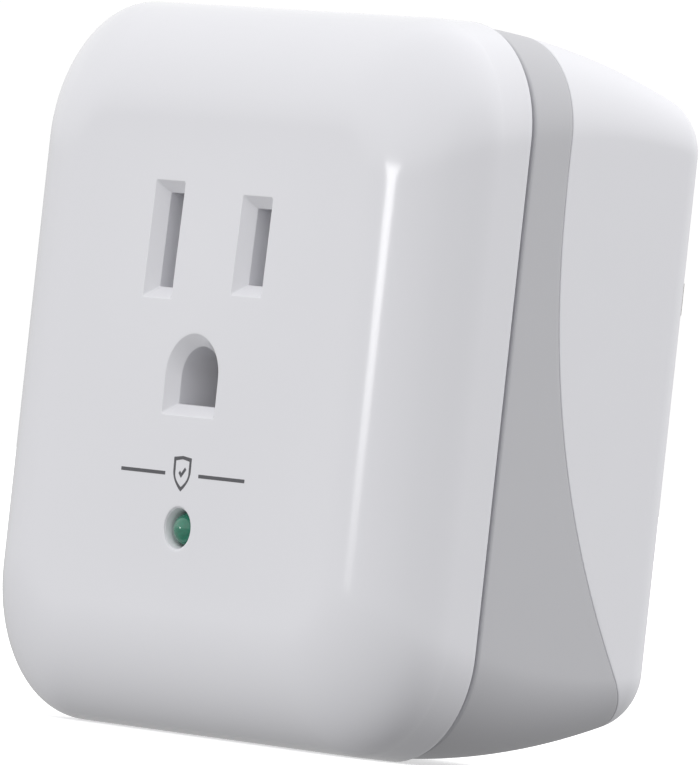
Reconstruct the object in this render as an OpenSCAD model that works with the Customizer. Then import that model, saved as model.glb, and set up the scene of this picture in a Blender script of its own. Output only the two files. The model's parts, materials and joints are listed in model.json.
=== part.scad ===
// Plug-in surge protector: one grounded outlet in front, three plug prongs behind.
// X runs right as seen from the front, +Y runs into the wall and +Z is up.
// The origin is on the flat back, half way between the two plug blades.

/* [Body] */
// Width over the front cover
body_w = 61.2; // [60.8:0.2:62.4]
// Height over the front cover
body_h = 65.1; // [64.7:0.2:66.3]
// Height of the blade line above mid-height
blade_line_rise = 11; // [10.8:0.1:11.4]
// Corner radius of the front cover's rim
corner_r = 10.1; // [9:0.1:11]
// Width of the flat back, over its edge radius
back_w = 55.7; // [55.2:0.1:56.9]
// Height of the flat back, over its edge radius
back_h = 53.9; // [53.6:0.1:56]
// Corner radius of the back
back_corner_r = 4.2; // [4:0.1:5.4]
// Radius of the edge around the back
back_edge_r = 2.5; // [2:0.1:2.6]
// Distance from the back to the front cover's seam
seam_depth = 22.5; // [22.3:0.1:23]
// How far the top and bottom bulge between seam and back
bulge = 1.15; // [0.7:0.05:1.4]
// How much higher the back sits than the cover
back_rise = 0.1; // [0:0.05:0.2]

/* [Front cover] */
// Depth of the straight skirt
skirt_depth = 3; // [2.8:0.1:3.4]
// Draft of the skirt on each side
skirt_draft = 0.06; // [0:0.02:0.2]
// How far the rounded shoulder comes in
shoulder_in = 10.8; // [10:0.1:11.2]
// How deep the rounded shoulder is
shoulder_depth = 7.3; // [7:0.1:7.6]
// Corner radius where the shoulder leaves the skirt
shoulder_corner_r = 10.9; // [10.4:0.1:11.4]
// Corner radius where the shoulder meets the face
face_corner_r = 3; // [2.5:0.1:4]
// Height of the face's crown
crown = 0.36; // [0.2:0.02:0.5]
// Wall thickness of the cover
cover_wall = 2; // [1.8:0.1:2.1]

/* [Accent band] */
// Depth of the band above the blade line
band_top_depth = 5.2; // [5:0.1:5.6]
// Depth of the band along the bottom
band_bottom_depth = 19.8; // [19.2:0.1:19.8]
// Thickness of the band
band_wall = 1.2; // [1:0.1:1.3]
// Width of the groove between front cover and band
seam_groove = 0.6; // [0.4:0.05:0.7]

/* [Outlet] */
// Distance between the blade slots
blade_pitch = 12.7; // [12.6:0.05:12.8]
// Drop from the blade line to the ground hole's centre
ground_drop = 11.9; // [11.8:0.05:12]
// Width of both slots
slot_w = 2.2; // [2.1:0.05:2.4]
// Height of the neutral slot
neutral_slot_h = 8.4; // [8.2:0.1:8.6]
// Height of the hot slot
hot_slot_h = 6.8; // [6.6:0.1:7]
// Radius of the ground hole's round top
ground_hole_r = 2.75; // [2.7:0.05:2.95]
// Drop from the ground hole's centre to its flat foot
ground_hole_foot = 2.5; // [2.5:0.05:2.7]
// Chamfer around the slots and the ground hole
lead_in = 1.05; // [0.9:0.05:1.1]

/* [Plug] */
// Length of the blades beyond the back
blade_l = 16.4; // [16:0.1:17.5]
// Width of the neutral blade
neutral_blade_w = 7.9; // [7.8:0.05:8]
// Width of the hot blade
hot_blade_w = 6.35; // [6.2:0.05:6.5]
// Thickness of the blades
blade_t = 1.5; // [1.4:0.05:1.6]
// Length of the ground pin beyond the back
pin_l = 19.8; // [19.4:0.1:21]
// Radius of the ground pin
pin_r = 2.38; // [2.3:0.02:2.42]

/* [Indicator] */
// Drop from the blade line to the indicator
led_drop = 25.35; // [25:0.05:25.7]
// Radius of the indicator's lens
led_r = 1.5; // [1.4:0.05:1.55]
// Outer radius of the countersunk hole that the lens shows through
led_hole_r = 1.875; // [1.8:0.025:1.95]
// Depth of that countersink
led_sink = 0.6; // [0.4:0.05:0.8]

/* [Shutter] */
// Travel of the safety shutter
shutter_travel = 3.2; // [3:0.1:3.3]

/* [Hidden] */
$fn = 48;

mid_z = -blade_line_rise;
seam_y = -seam_depth;
skirt_y = seam_y - skirt_depth;
face_y = skirt_y - shoulder_depth;
crown_y = face_y - crown;
face_in = skirt_draft + shoulder_in;
hot_x = blade_pitch / 2;
neutral_x = -blade_pitch / 2;
ground_z = -ground_drop;
led_z = -led_drop;
past = 1;

// The shoulder is a superellipse: a quarter turn with this power on sine and cosine
shoulder_power = 0.94;
shoulder_steps = 13;
corner_steps = 11;
crown_rings = [0.85, 0.7, 0.55, 0.4, 0.25, 0.03];

// The housing stands in from the cover's rim by this much
rim_step = 0.3;
housing_wall = 2.8;
back_wall = 2.5;
lip_h = 1.6;
lip_gap = 0.15;
fit_gap = 0.05;
side_stations = [0, 0.12, 0.25, 0.38, 0.5, 0.63, 0.76, 0.88];
edge_steps = 6;

// The band's rear edge is level beside the outlet, then falls back in a curve
curve_start_z = 10.5;
curve_gain = 0.0016;
curve_power = 2.36;
curve_blend = 24;
curve_step = 0.5;

// Four long screws join housing and cover
screw_x = 20.5;
screw_z = [9.9, -31.9];
screw_r = 1.5;
screw_head_r = 2.8;
screw_head_h = 2;
cover_post_r = 3.2;
housing_post_r = 4.4;
post_joint_y = -9.6;
counterbore_y = -5.5;
counterbore_r = 3.1;
screw_end_y = -19;
screw_gap = 0.2;
board_head = [2.4, 1.7];
carrier_screw = [13.2, -14.6];
carrier_screw_r = 1;
carrier_head = [1.9, 1.3];
carrier_bore_y = -21;
slot_gap = 0.15;
cross_w_share = 0.45;
cross_l_share = 1.1;

// Receptacle: a pad inside the cover, the shutter, then the contacts in their carrier
pad_y = -29.4;
pad_size = [31, 24.8];
pad_top_z = 7.2;
collar_r = 4.3;
collar_y = -27;
carrier_x = 16.2;
carrier_z = [-18.6, 7.2];
carrier_y = [-29.2, -13.8];
shutter_y = [-29.1, -27.1];
shutter_x = [-12.4, 9];
shutter_half_h = 5.3;
recess_x = [-12.5, 15.2];
recess_half_h = 5.6;
recess_y = -26.95;
floor_y = -25.5;
window_w = 2.7;
window_half_h = 4.6;
ramp_half_w = 1.3;
ramp_drop = 1.2;
ramp_lead = 0.6;
pocket_w = 6.8;
pocket_half_h = 4.7;
ground_pocket_r = 3.5;

// Contacts, bent from brass strip
strip_t = 0.5;
contact_back_y = -14.4;
contact_mouth_y = -25.2;
contact_pinch_y = -21.5;
contact_half_w = 2.6;
contact_half_h = 4;
contact_foot = 2;
contact_pinch_x = 0.6;
contact_mouth_x = 1.8;
tail_half_w = 1.2;
tail_end_y = -6.3;
ground_contact_r = 2.35;
cover_plate_t = 1.5;

// Circuit board, across the housing
board_y = [-8.6, -7];
board_tall = [30.4, 52.8];
board_wide = [50, 32];
board_mid_z = -11.1;
board_screw = [21.8, -1.5];
board_screw_r = 1.25;
board_post_r = 3;
lead_r = 0.3;
lead_hole_r = 0.5;
lead_end_y = -6.3;
body_gap = 0.1;

// Blades are clamped by their flanges between the back wall and a plate
flange_t = 0.95;
flange_z = 5;
flange_x = 2;
tab_half_h = 2;
tab_end_y = -9.6;
plate_y = [-5, -3.6];
plate_x = 11.5;
plate_z = [-17, 6.5];
sheet_x = 14.5;
sheet_y = [-5.6, -5.2];
sheet_z = [-36.6, 14.6];
stake_r = 1.2;
stakes = [[-9.8, -13], [9.8, -13]];
collar_pin_r = 2.6;
stub_r = 1.5;
blade_hole_r = 1.6;
blade_hole_y = 11.7;
blade_tip_w = 3;
blade_tip_l = 1.9;
blade_edge_l = 1.3;
blade_edge_t = 0.45;

// Surge parts on the board
disc_r = 7.75;
disc_t = 4.6;
disc_z = -31;
disc_y = -18.4;
disc_x = [-9.1, 5, 10.4];
disc_pitch = 7.5;
disc_rim = 1;
thermal_x = -13.9;
thermal_r = 2;
thermal_y = [-24, -14.5];
sleeve_t = 0.3;
sleeve_over = 0.5;
thermal_lead_rise = 5.4;
capacitor_size = [13, 12, 6];
capacitor_at = [-7.5, 12.4];
capacitor_pitch = 10;
fuse_at = [8.5, 11.9];
fuse_r = 4;
fuse_h = 7.8;
fuse_pitch = 5;
axial_z = -17;
axial_y = -10;
axial_pitch = 10.2;
resistor_x = [-23.2, -19.6];
resistor_r = 1.2;
resistor_l = 6.8;
resistor_waist = 0.85;
resistor_cap_l = 0.28 * resistor_l;
diode_x = 20;
diode_r = 1.35;
diode_l = 5.2;

// Indicator lamp on a spacer
led_tip_y = -32.95;
led_bore_r = 1.6;
led_flange_y = [-28.4, -27.4];
led_flange_r = 1.9;
leg_x = 1.27;
leg_r = 0.25;
leg_hole_r = 0.35;

// Shell shapes

// A rounded rectangle at depth y about height mid, anticlockwise as seen from the front
function ring(y, half_w, half_h, r, mid = mid_z) = [
    for (corner = [0:3], i = [0:corner_steps])
        let (
            a = 90 * (corner + i / corner_steps),
            side = (corner == 0 || corner == 3) ? 1 : -1,
            up = corner < 2 ? 1 : -1
        )
        [side * (half_w - r) + r * cos(a), y, mid + up * (half_h - r) + r * sin(a)]
];

// A ring of the front cover: inset from its rim, with corner radius r, scaled about the middle
function cover_ring(y, inset, r, s = 1) =
    ring(y, (body_w / 2 - inset) * s, (body_h / 2 - inset) * s, max(r, 1) * s);

function shoulder_turn(i) = 90 * i / shoulder_steps;
function shoulder_rise(t) = 1 - pow(cos(t), shoulder_power);
function cover_corner(t) = blend(shoulder_corner_r, face_corner_r, pow(shoulder_rise(t), 2));

// The shoulder's rings, front to back, set in by wall
function shoulder_rings(wall) = [
    for (i = [shoulder_steps:-1:0])
        let (t = shoulder_turn(i))
        cover_ring(skirt_y - shoulder_depth * pow(sin(t), shoulder_power) + wall,
            skirt_draft + shoulder_in * shoulder_rise(t) + wall, cover_corner(t) - wall)
];

// How far along the body a depth lies: 0 at the seam, 1 at the back
function along(y) = (y - seam_y) / -seam_y;
function swell(u) = bulge * 4 * u * (1 - u);
function blend(a, b, u) = a + (b - a) * u;

function body_ring(y, inset) =
    let (
        u = along(y),
        half_h = blend(body_h / 2 - rim_step, back_h / 2, u) + swell(u) - inset
    )
    ring(y, blend(body_w / 2 - rim_step, back_w / 2, u) - inset, half_h,
        max(blend(corner_r, back_corner_r, u) - inset, 1), mid_z + back_rise * u);

// Joins rings of points, front to back, into one closed solid
module loft(rings) {
    n = len(rings[0]);
    last = len(rings) - 1;
    sides = [
        for (i = [0:last - 1], j = [0:n - 1])
            let (k = (j + 1) % n)
            [i * n + j, i * n + k, (i + 1) * n + k, (i + 1) * n + j]
    ];
    front = [for (j = [n - 1:-1:0]) j];
    back = [for (j = [0:n - 1]) last * n + j];
    polyhedron([for (points = rings) each points], concat(sides, [front], [back]));
}

// The housing's outside from the seam to the back, set in by inset
module body_solid(inset = 0) {
    edge = [
        for (i = [0:edge_steps])
            let (t = 90 * i / edge_steps)
            body_ring(back_edge_r * (sin(t) - 1), inset + back_edge_r * (1 - cos(t)))
    ];
    sides = [for (u = side_stations) body_ring(seam_y * (1 - u), inset)];
    loft(concat(sides, edge));
}

// The housing's hollow, open past the seam
module body_hollow(inset, front_y, back_y) {
    stations = [front_y, seam_y, -17, -12, -7, back_y];
    loft([for (y = stations) body_ring(y, inset)]);
}

// Draws a shape along X from its outline in Y and Z
module along_x(half_l) {
    rotate([90, 0, 90]) linear_extrude(2 * half_l, center = true) children();
}

// A cylinder along Y from one depth to another
module rod(x, z, r, y0, y1) {
    translate([x, y0, z]) rotate([-90, 0, 0]) cylinder(h = y1 - y0, r = r);
}

// A box from its limits
module block(x, y, z) {
    translate([x[0], y[0], z[0]]) cube([x[1] - x[0], y[1] - y[0], z[1] - z[0]]);
}

// The band's depth behind the seam at a height, with a rounded turn into the bottom depth
function band_depth(z) =
    let (fall = band_top_depth + curve_gain * pow(max(curve_start_z - z, 0), curve_power))
    pow(pow(fall, -curve_blend) + pow(band_bottom_depth, -curve_blend), -1 / curve_blend);

// Everything in front of the band's rear edge, moved back by shift
module band_zone(front_y, shift = 0) {
    low = mid_z - body_h;
    curve = [
        for (z = [curve_start_z:-curve_step:mid_z - body_h / 2])
            [seam_y + band_depth(z) + shift, z]
    ];
    along_x(body_w) polygon(concat(
        [[front_y, low], [front_y, body_h], [seam_y + band_top_depth + shift, body_h]],
        curve,
        [[seam_y + band_bottom_depth + shift, low]]
    ));
}

// Outline of the ground hole: a round top over a flat foot, grown by s
function ground_ring(y, s) =
    let (r = ground_hole_r + s)
    concat(
        [for (a = [0:7.5:180]) [r * cos(a), y, ground_z + r * sin(a)]],
        [for (side = [-1, 1]) [side * r, y, ground_z - ground_hole_foot - s]]
    );

function slot_ring(y, x, half_h, s) = [
    for (c = [[1, 1], [-1, 1], [-1, -1], [1, -1]])
        [x + c.x * (slot_w / 2 + s), y, c.y * (half_h + s)]
];

// Height of the crown at a share of the way from the face's middle to its edge
function crown_at(s) = crown * pow(1 - s * s, 2);

// Depth of the crowned face at a height on its middle line
function crowned_y(z) = face_y - crown_at((z - mid_z) / (body_h / 2 - face_in));

slot_face_y = crowned_y(0);
led_face_y = crowned_y(led_z);

module slot_cut(x, slot_h) {
    half_h = slot_h / 2;
    loft([
        slot_ring(slot_face_y - past, x, half_h, lead_in + past),
        slot_ring(slot_face_y + lead_in, x, half_h, 0),
        slot_ring(pad_y + past, x, half_h, 0)
    ]);
}

module ground_cut() {
    loft([
        ground_ring(crown_y - past, lead_in + past),
        ground_ring(crown_y + lead_in, 0),
        ground_ring(collar_y + past, 0)
    ]);
}

module led_cut() {
    translate([0, led_face_y, led_z]) rotate([-90, 0, 0])
        cylinder(h = led_sink, r1 = led_hole_r, r2 = led_bore_r);
    rod(0, led_z, led_hole_r, led_face_y - past, led_face_y);
    rod(0, led_z, led_bore_r, led_face_y, face_y + 2 * cover_wall);
}

module at_screws() {
    for (side = [-1, 1], z = screw_z) translate([side * screw_x, 0, z]) children();
}

// Casing

module front_cover() color("ghostwhite") {
    crown_part = [
        for (i = [len(crown_rings) - 1:-1:0])
            let (s = crown_rings[i])
            cover_ring(face_y - crown_at(s), face_in, face_corner_r, s)
    ];
    difference() {
        loft(concat(crown_part, shoulder_rings(0), [cover_ring(seam_y, 0, corner_r)]));
        difference() {
            loft(concat(shoulder_rings(cover_wall),
                [cover_ring(seam_y + past, cover_wall, corner_r - cover_wall)]));
            block([-pad_size.x / 2, pad_size.x / 2], [crown_y, pad_y],
                [pad_top_z - pad_size.y, pad_top_z]);
            rod(0, ground_z, collar_r, crown_y, collar_y);
            at_screws() rod(0, 0, cover_post_r, crown_y, post_joint_y);
        }
        slot_cut(hot_x, hot_slot_h);
        slot_cut(neutral_x, neutral_slot_h);
        ground_cut();
        led_cut();
        at_screws() rod(0, 0, screw_r + fit_gap, screw_end_y - past, post_joint_y + past);
    }
    at_screws() difference() {
        rod(0, 0, cover_post_r, seam_y - past, post_joint_y);
        rod(0, 0, screw_r + fit_gap, screw_end_y - past, post_joint_y + past);
    }
}

module accent_band() color("silver") difference() {
    intersection() {
        body_solid();
        band_zone(seam_y + seam_groove);
    }
    body_hollow(band_wall, seam_y - past, -back_edge_r);
}

module rear_housing() color("whitesmoke") difference() {
    union() {
        difference() {
            body_solid();
            difference() {
                band_zone(seam_y - past, 2 * fit_gap);
                body_hollow(band_wall + fit_gap, seam_y - 2 * past, -back_edge_r);
            }
            body_hollow(housing_wall, seam_y - past, -back_wall);
        }
        difference() {
            body_hollow(cover_wall + lip_gap - rim_step, seam_y - lip_h, seam_y + lip_h);
            body_hollow(housing_wall, seam_y - 2 * lip_h, seam_y + 2 * lip_h);
        }
        at_screws() rod(0, 0, housing_post_r, post_joint_y + fit_gap, -past);
        for (side = [-1, 1])
            rod(side * board_screw.x, board_screw.y, board_post_r, board_y[1] + fit_gap, -past);
        for (at = stakes) rod(at.x, at.y, stake_r, plate_y[0], -past);
    }
    at_screws() {
        rod(0, 0, screw_r + screw_gap, post_joint_y - past, past);
        rod(0, 0, counterbore_r, counterbore_y, past);
    }
    for (side = [-1, 1])
        rod(side * board_screw.x, board_screw.y, board_screw_r + fit_gap,
            board_y[1] - past, -back_wall);
    blade_gap(hot_x, hot_blade_w);
    blade_gap(neutral_x, neutral_blade_w);
    rod(0, ground_z, collar_pin_r + fit_gap, -back_wall - past, past);
}

// The hole that a blade passes through in the back wall
module blade_gap(x, w) {
    half_t = blade_t / 2 + fit_gap;
    half_w = w / 2 + fit_gap;
    block([x - half_t, x + half_t], [-back_wall - past, past], [-half_w, half_w]);
}

// Plug

module blade(x, w) {
    flange_y = [-back_wall - fit_gap - flange_t, -back_wall - fit_gap];
    difference() {
        intersection() {
            translate([x, 0, 0]) along_x(blade_t / 2) polygon([
                [flange_y[0], -w / 2],
                [blade_l - blade_tip_l, -w / 2],
                [blade_l, -blade_tip_w / 2],
                [blade_l, blade_tip_w / 2],
                [blade_l - blade_tip_l, w / 2],
                [flange_y[0], w / 2]
            ]);
            translate([x, 0, -w]) linear_extrude(2 * w) polygon([
                [-blade_t / 2, flange_y[0]],
                [blade_t / 2, flange_y[0]],
                [blade_t / 2, blade_l - blade_edge_l],
                [blade_t / 2 - blade_edge_t, blade_l],
                [blade_edge_t - blade_t / 2, blade_l],
                [-blade_t / 2, blade_l - blade_edge_l]
            ]);
        }
        translate([x, blade_hole_y, 0]) rotate([0, 90, 0])
            cylinder(h = 2 * blade_t, r = blade_hole_r, center = true);
    }
    block([x - flange_x, x + flange_x], flange_y, [-flange_z, flange_z]);
    block([x - blade_t / 2, x + blade_t / 2], [tab_end_y, flange_y[1]],
        [-tab_half_h, tab_half_h]);
}

module hot_blade() color("gold") blade(hot_x, hot_blade_w);

module neutral_blade() color("gold") blade(neutral_x, neutral_blade_w);

module ground_pin() color("gold") {
    flange_y = [-back_wall - fit_gap - flange_t, -back_wall - fit_gap];
    rod(0, ground_z, pin_r, 0, pin_l - pin_r);
    translate([0, pin_l - pin_r, ground_z]) sphere(pin_r);
    rod(0, ground_z, collar_pin_r, flange_y[0], 0);
    rod(0, ground_z, collar_pin_r + past, flange_y[0], flange_y[1]);
    rod(0, ground_z, stub_r, tab_end_y, flange_y[1]);
}

// Cuts for the inner ends of the blades and the ground pin, in anything they cross
module tab_cuts(y, gap) {
    for (x = [hot_x, neutral_x])
        block([x - blade_t / 2 - gap, x + blade_t / 2 + gap], y,
            [-tab_half_h - gap, tab_half_h + gap]);
    rod(0, ground_z, stub_r + gap, y[0], y[1]);
}

module blade_plate() color("dimgray") difference() {
    block([-plate_x, plate_x], plate_y, plate_z);
    tab_cuts([plate_y[0] - past, plate_y[1] + past], 2 * fit_gap);
    for (at = stakes)
        rod(at.x, at.y, stake_r + fit_gap, plate_y[0] - past, plate_y[1] + past);
}

module insulation_sheet() color("khaki") {
    difference() {
        block([-sheet_x, sheet_x], sheet_y, sheet_z);
        tab_cuts([sheet_y[0] - past, sheet_y[1] + past], 4 * fit_gap);
    }
}

// Outlet contacts

module contact_leaf(side) {
    path = [
        [contact_half_w, contact_back_y],
        [contact_half_w, contact_back_y - contact_foot],
        [contact_pinch_x, contact_pinch_y],
        [contact_mouth_x, contact_mouth_y]
    ];
    outline = concat(
        [for (p = path) [side * p.x, p.y]],
        [for (i = [len(path) - 1:-1:0]) [side * (path[i].x + strip_t), path[i].y]]
    );
    translate([0, 0, -contact_half_h]) linear_extrude(2 * contact_half_h) polygon(outline);
}

// A contact for a blade, with its tail at the outer side
module blade_contact(x, side) {
    outer = contact_half_w + strip_t;
    translate([x, 0, 0]) {
        contact_leaf(1);
        contact_leaf(-1);
        block([-outer, outer], [contact_back_y - strip_t, contact_back_y],
            [-contact_half_h, contact_half_h]);
        tail = [side * contact_half_w, side * outer];
        block([min(tail), max(tail)], [contact_back_y - strip_t, tail_end_y],
            [-tail_half_w, tail_half_w]);
    }
}

module hot_contact() color("goldenrod") blade_contact(hot_x, 1);

module neutral_contact() color("goldenrod") blade_contact(neutral_x, -1);

module ground_contact() color("goldenrod") {
    outer_r = ground_contact_r + strip_t;
    ring_y = contact_back_y - contact_foot;
    difference() {
        rod(0, ground_z, outer_r, contact_mouth_y, contact_back_y);
        rod(0, ground_z, ground_contact_r, contact_mouth_y - past, contact_back_y + past);
        block([-outer_r - past, outer_r + past], [contact_mouth_y - past, ring_y],
            [ground_z - strip_t, ground_z + strip_t]);
    }
    block([ground_contact_r + fit_gap, outer_r], [ring_y + strip_t, tail_end_y],
        [ground_z - tail_half_w, ground_z + tail_half_w]);
}

// Cuts for the three contact tails, in anything they cross
module tail_cuts(y, gap) {
    for (side = [-1, 1]) {
        x0 = side * (blade_pitch / 2 + contact_half_w + strip_t / 2);
        block([x0 - strip_t / 2 - gap, x0 + strip_t / 2 + gap], y,
            [-tail_half_w - gap, tail_half_w + gap]);
    }
    x1 = ground_contact_r + strip_t / 2;
    block([x1 - strip_t / 2 - gap, x1 + strip_t / 2 + gap], y,
        [ground_z - tail_half_w - gap, ground_z + tail_half_w + gap]);
}

module contact_carrier() color("slategray") difference() {
    block([-carrier_x, carrier_x], carrier_y, carrier_z);
    block(recess_x, [carrier_y[0] - past, recess_y], [-recess_half_h, recess_half_h]);
    for (x = [hot_x, neutral_x]) {
        block([x - window_w / 2, x + window_w / 2], [recess_y - past, floor_y + past],
            [-window_half_h, window_half_h]);
        block([x - pocket_w / 2, x + pocket_w / 2], [floor_y, carrier_y[1] + past],
            [-pocket_half_h, pocket_half_h]);
    }
    rod(0, ground_z, collar_r + screw_gap, carrier_y[0] - past, collar_y + screw_gap);
    rod(0, ground_z, ground_pocket_r, collar_y - past, carrier_y[1] + past);
    for (side = [-1, 1])
        rod(side * carrier_screw.x, carrier_screw.y, carrier_screw_r + fit_gap,
            carrier_bore_y, carrier_y[1] + past);
}

module contact_cover() color("gray") {
    y = [carrier_y[1] + fit_gap, carrier_y[1] + fit_gap + cover_plate_t];
    cut_y = [y[0] - past, y[1] + past];
    difference() {
        block([-carrier_x, carrier_x], y, carrier_z);
        tail_cuts(cut_y, slot_gap);
        rod(0, ground_z, ground_contact_r, cut_y[0], cut_y[1]);
        for (side = [-1, 1])
            rod(side * carrier_screw.x, carrier_screw.y, carrier_screw_r + slot_gap,
                cut_y[0], cut_y[1]);
    }
}

// A pan-head screw along Y with a cross recess, its head at head_y and its end at end_y
module pan_screw(r, head_r, head_h, head_y, end_y) {
    out = sign(head_y - end_y);
    cross_w = r * cross_w_share;
    difference() {
        union() {
            rod(0, 0, r, min(head_y, end_y), max(head_y, end_y));
            rod(0, 0, head_r, min(head_y, head_y + out * head_h),
                max(head_y, head_y + out * head_h));
        }
        for (turn = [0, 90])
            translate([0, head_y + out * head_h, 0]) rotate([0, turn, 0])
                cube([head_r * cross_l_share, head_h, cross_w], center = true);
    }
}

module carrier_screws() color("lightsteelblue") {
    for (side = [-1, 1]) translate([side * carrier_screw.x, 0, carrier_screw.y])
        pan_screw(carrier_screw_r, carrier_head[0], carrier_head[1],
            carrier_y[1] + 2 * fit_gap + cover_plate_t, carrier_bore_y + past);
}

module board_screws() color("lightsteelblue") {
    for (side = [-1, 1]) translate([side * board_screw.x, 0, board_screw.y])
        pan_screw(board_screw_r, board_head[0], board_head[1], board_y[0] - fit_gap,
            -back_wall - 2 * fit_gap);
}

module housing_screws() color("lightsteelblue") {
    at_screws() pan_screw(screw_r, screw_head_r, screw_head_h,
        counterbore_y + fit_gap, screw_end_y);
}

// Safety shutter: a slotted slide whose ramps turn a plug's push into a side step

module safety_shutter() color("orange") difference() {
    front = shutter_y[0];
    ramps = [for (x = [neutral_x, hot_x]) each [
        [x - ramp_half_w - ramp_lead, front],
        [x - ramp_half_w - ramp_lead, front + ramp_drop],
        [x - ramp_half_w, front + ramp_drop],
        [x + ramp_half_w, front]
    ]];
    translate([0, 0, -shutter_half_h]) linear_extrude(2 * shutter_half_h) polygon(concat(
        [[shutter_x[0], shutter_y[1]], [shutter_x[0], front]],
        ramps,
        [[shutter_x[1], front], [shutter_x[1], shutter_y[1]]]
    ));
    for (x = [hot_x, neutral_x])
        translate([x - shutter_travel, (shutter_y[0] + shutter_y[1]) / 2, 0])
            cube([window_w, 2 * window_w, 2 * window_half_h], center = true);
}

// The return spring, swept along a helix between the shutter and the recess's end
module shutter_spring() color("lightgray") {
    turns = 6;
    per_turn = 12;
    coil_r = 0.8;
    wire_r = 0.15;
    sides = 6;
    x0 = shutter_x[1] + wire_r + fit_gap;
    x1 = recess_x[1] - wire_r - fit_gap;
    n = turns * per_turn;
    y = (shutter_y[0] + shutter_y[1]) / 2;
    points = [
        for (i = [0:n], j = [0:sides - 1])
            let (
                a = 360 * i / per_turn,
                b = 360 * j / sides,
                r = coil_r + wire_r * cos(b)
            )
            [x0 + (x1 - x0) * i / n + wire_r * sin(b), y + r * cos(a), r * sin(a)]
    ];
    walls = [
        for (i = [0:n - 1], j = [0:sides - 1])
            let (
                k = (j + 1) % sides,
                a = i * sides,
                b = (i + 1) * sides
            )
            each [[a + j, a + k, b + k], [a + j, b + k, b + j]]
    ];
    ends = [[for (j = [sides - 1:-1:0]) j], [for (j = [0:sides - 1]) n * sides + j]];
    polyhedron(points, concat(walls, ends));
}

// Circuit

// Where the leads of each part enter the board
disc_leads = [for (x = disc_x, side = [-1, 1]) [x + side, disc_z + side * disc_pitch / 2]];
thermal_leads = [[thermal_x, disc_z + thermal_lead_rise]];
capacitor_leads = [
    for (side = [-1, 1]) [capacitor_at.x + side * capacitor_pitch / 2, capacitor_at.y]
];
fuse_leads = [for (side = [-1, 1]) [fuse_at.x + side * fuse_pitch / 2, fuse_at.y]];
axial_leads = [
    for (x = concat(resistor_x, [diode_x]), side = [-1, 1]) [x, axial_z + side * axial_pitch / 2]
];
board_leads = concat(disc_leads, thermal_leads, [[thermal_x, disc_z]], capacitor_leads,
    fuse_leads, axial_leads);

module circuit_board() color("darkgreen") difference() {
    union() {
        block([-board_tall.x / 2, board_tall.x / 2], board_y,
            [board_mid_z - board_tall.y / 2, board_mid_z + board_tall.y / 2]);
        block([-board_wide.x / 2, board_wide.x / 2], board_y,
            [board_mid_z - board_wide.y / 2, board_mid_z + board_wide.y / 2]);
    }
    cut_y = [board_y[0] - past, board_y[1] + past];
    tab_cuts(cut_y, slot_gap);
    tail_cuts(cut_y, slot_gap);
    for (at = board_leads) rod(at.x, at.y, lead_hole_r, cut_y[0], cut_y[1]);
    for (side = [-1, 1]) {
        rod(side * leg_x, led_z, lead_hole_r, cut_y[0], cut_y[1]);
        rod(side * board_screw.x, board_screw.y, board_screw_r + slot_gap, cut_y[0], cut_y[1]);
    }
}

// A lacquered disc with rounded rims, standing on edge
module varistor(x) {
    facet = 0.3 * disc_rim;
    translate([x, disc_y, disc_z]) rotate([0, 90, 0]) rotate_extrude() polygon([
        [0, -disc_t / 2],
        [disc_r - disc_rim, -disc_t / 2],
        [disc_r - facet, -disc_t / 2 + facet],
        [disc_r, -disc_t / 2 + disc_rim],
        [disc_r, disc_t / 2 - disc_rim],
        [disc_r - facet, disc_t / 2 - facet],
        [disc_r - disc_rim, disc_t / 2],
        [0, disc_t / 2]
    ]);
}

module line_neutral_varistor() color("royalblue") varistor(disc_x[0]);

module line_ground_varistor() color("royalblue") varistor(disc_x[1]);

module neutral_ground_varistor() color("royalblue") varistor(disc_x[2]);

module thermal_fuse() color("silver")
    rod(thermal_x, disc_z, thermal_r, thermal_y[0], thermal_y[1]);

module fuse_sleeve() color("black") difference() {
    inner_r = thermal_r + fit_gap;
    rod(thermal_x, disc_z, inner_r + sleeve_t, thermal_y[0] - sleeve_over, thermal_y[1] + sleeve_over);
    rod(thermal_x, disc_z, inner_r, thermal_y[0] - past, thermal_y[1] + past);
}

module circuit_fuse() color("darkred")
    rod(fuse_at.x, fuse_at.y, fuse_r, board_y[0] - body_gap - fuse_h, board_y[0] - body_gap);

module filter_capacitor() color("gold") {
    base_y = board_y[0] - body_gap;
    block([capacitor_at.x - capacitor_size.x / 2, capacitor_at.x + capacitor_size.x / 2],
        [base_y - capacitor_size.y, base_y],
        [capacitor_at.y - capacitor_size.z / 2, capacitor_at.y + capacitor_size.z / 2]);
}

// An axial part's body, lying along Z
module axial_body(x, r, l) {
    translate([x, axial_y, axial_z]) cylinder(h = l, r = r, center = true);
}

module dropper_resistors() color("tan") {
    for (x = resistor_x) {
        axial_body(x, resistor_waist * resistor_r, resistor_l);
        for (side = [-1, 1])
            translate([0, 0, side * (resistor_l - resistor_cap_l) / 2])
                axial_body(x, resistor_r, resistor_cap_l);
    }
}

module rectifier_diode() color("black") axial_body(diode_x, diode_r, diode_l);

// An axial part's two bent leads, from its body's ends down through the board
module axial_leads_of(x, l) {
    bend_z = axial_pitch / 2;
    for (side = [-1, 1]) {
        reach = bend_z - l / 2 - fit_gap;
        translate([x, axial_y, axial_z + side * (l / 2 + fit_gap + reach / 2)])
            cylinder(h = reach, r = lead_r, center = true);
        translate([x, axial_y, axial_z + side * bend_z]) sphere(lead_r);
        rod(x, axial_z + side * bend_z, lead_r, axial_y, lead_end_y);
    }
}

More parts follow.
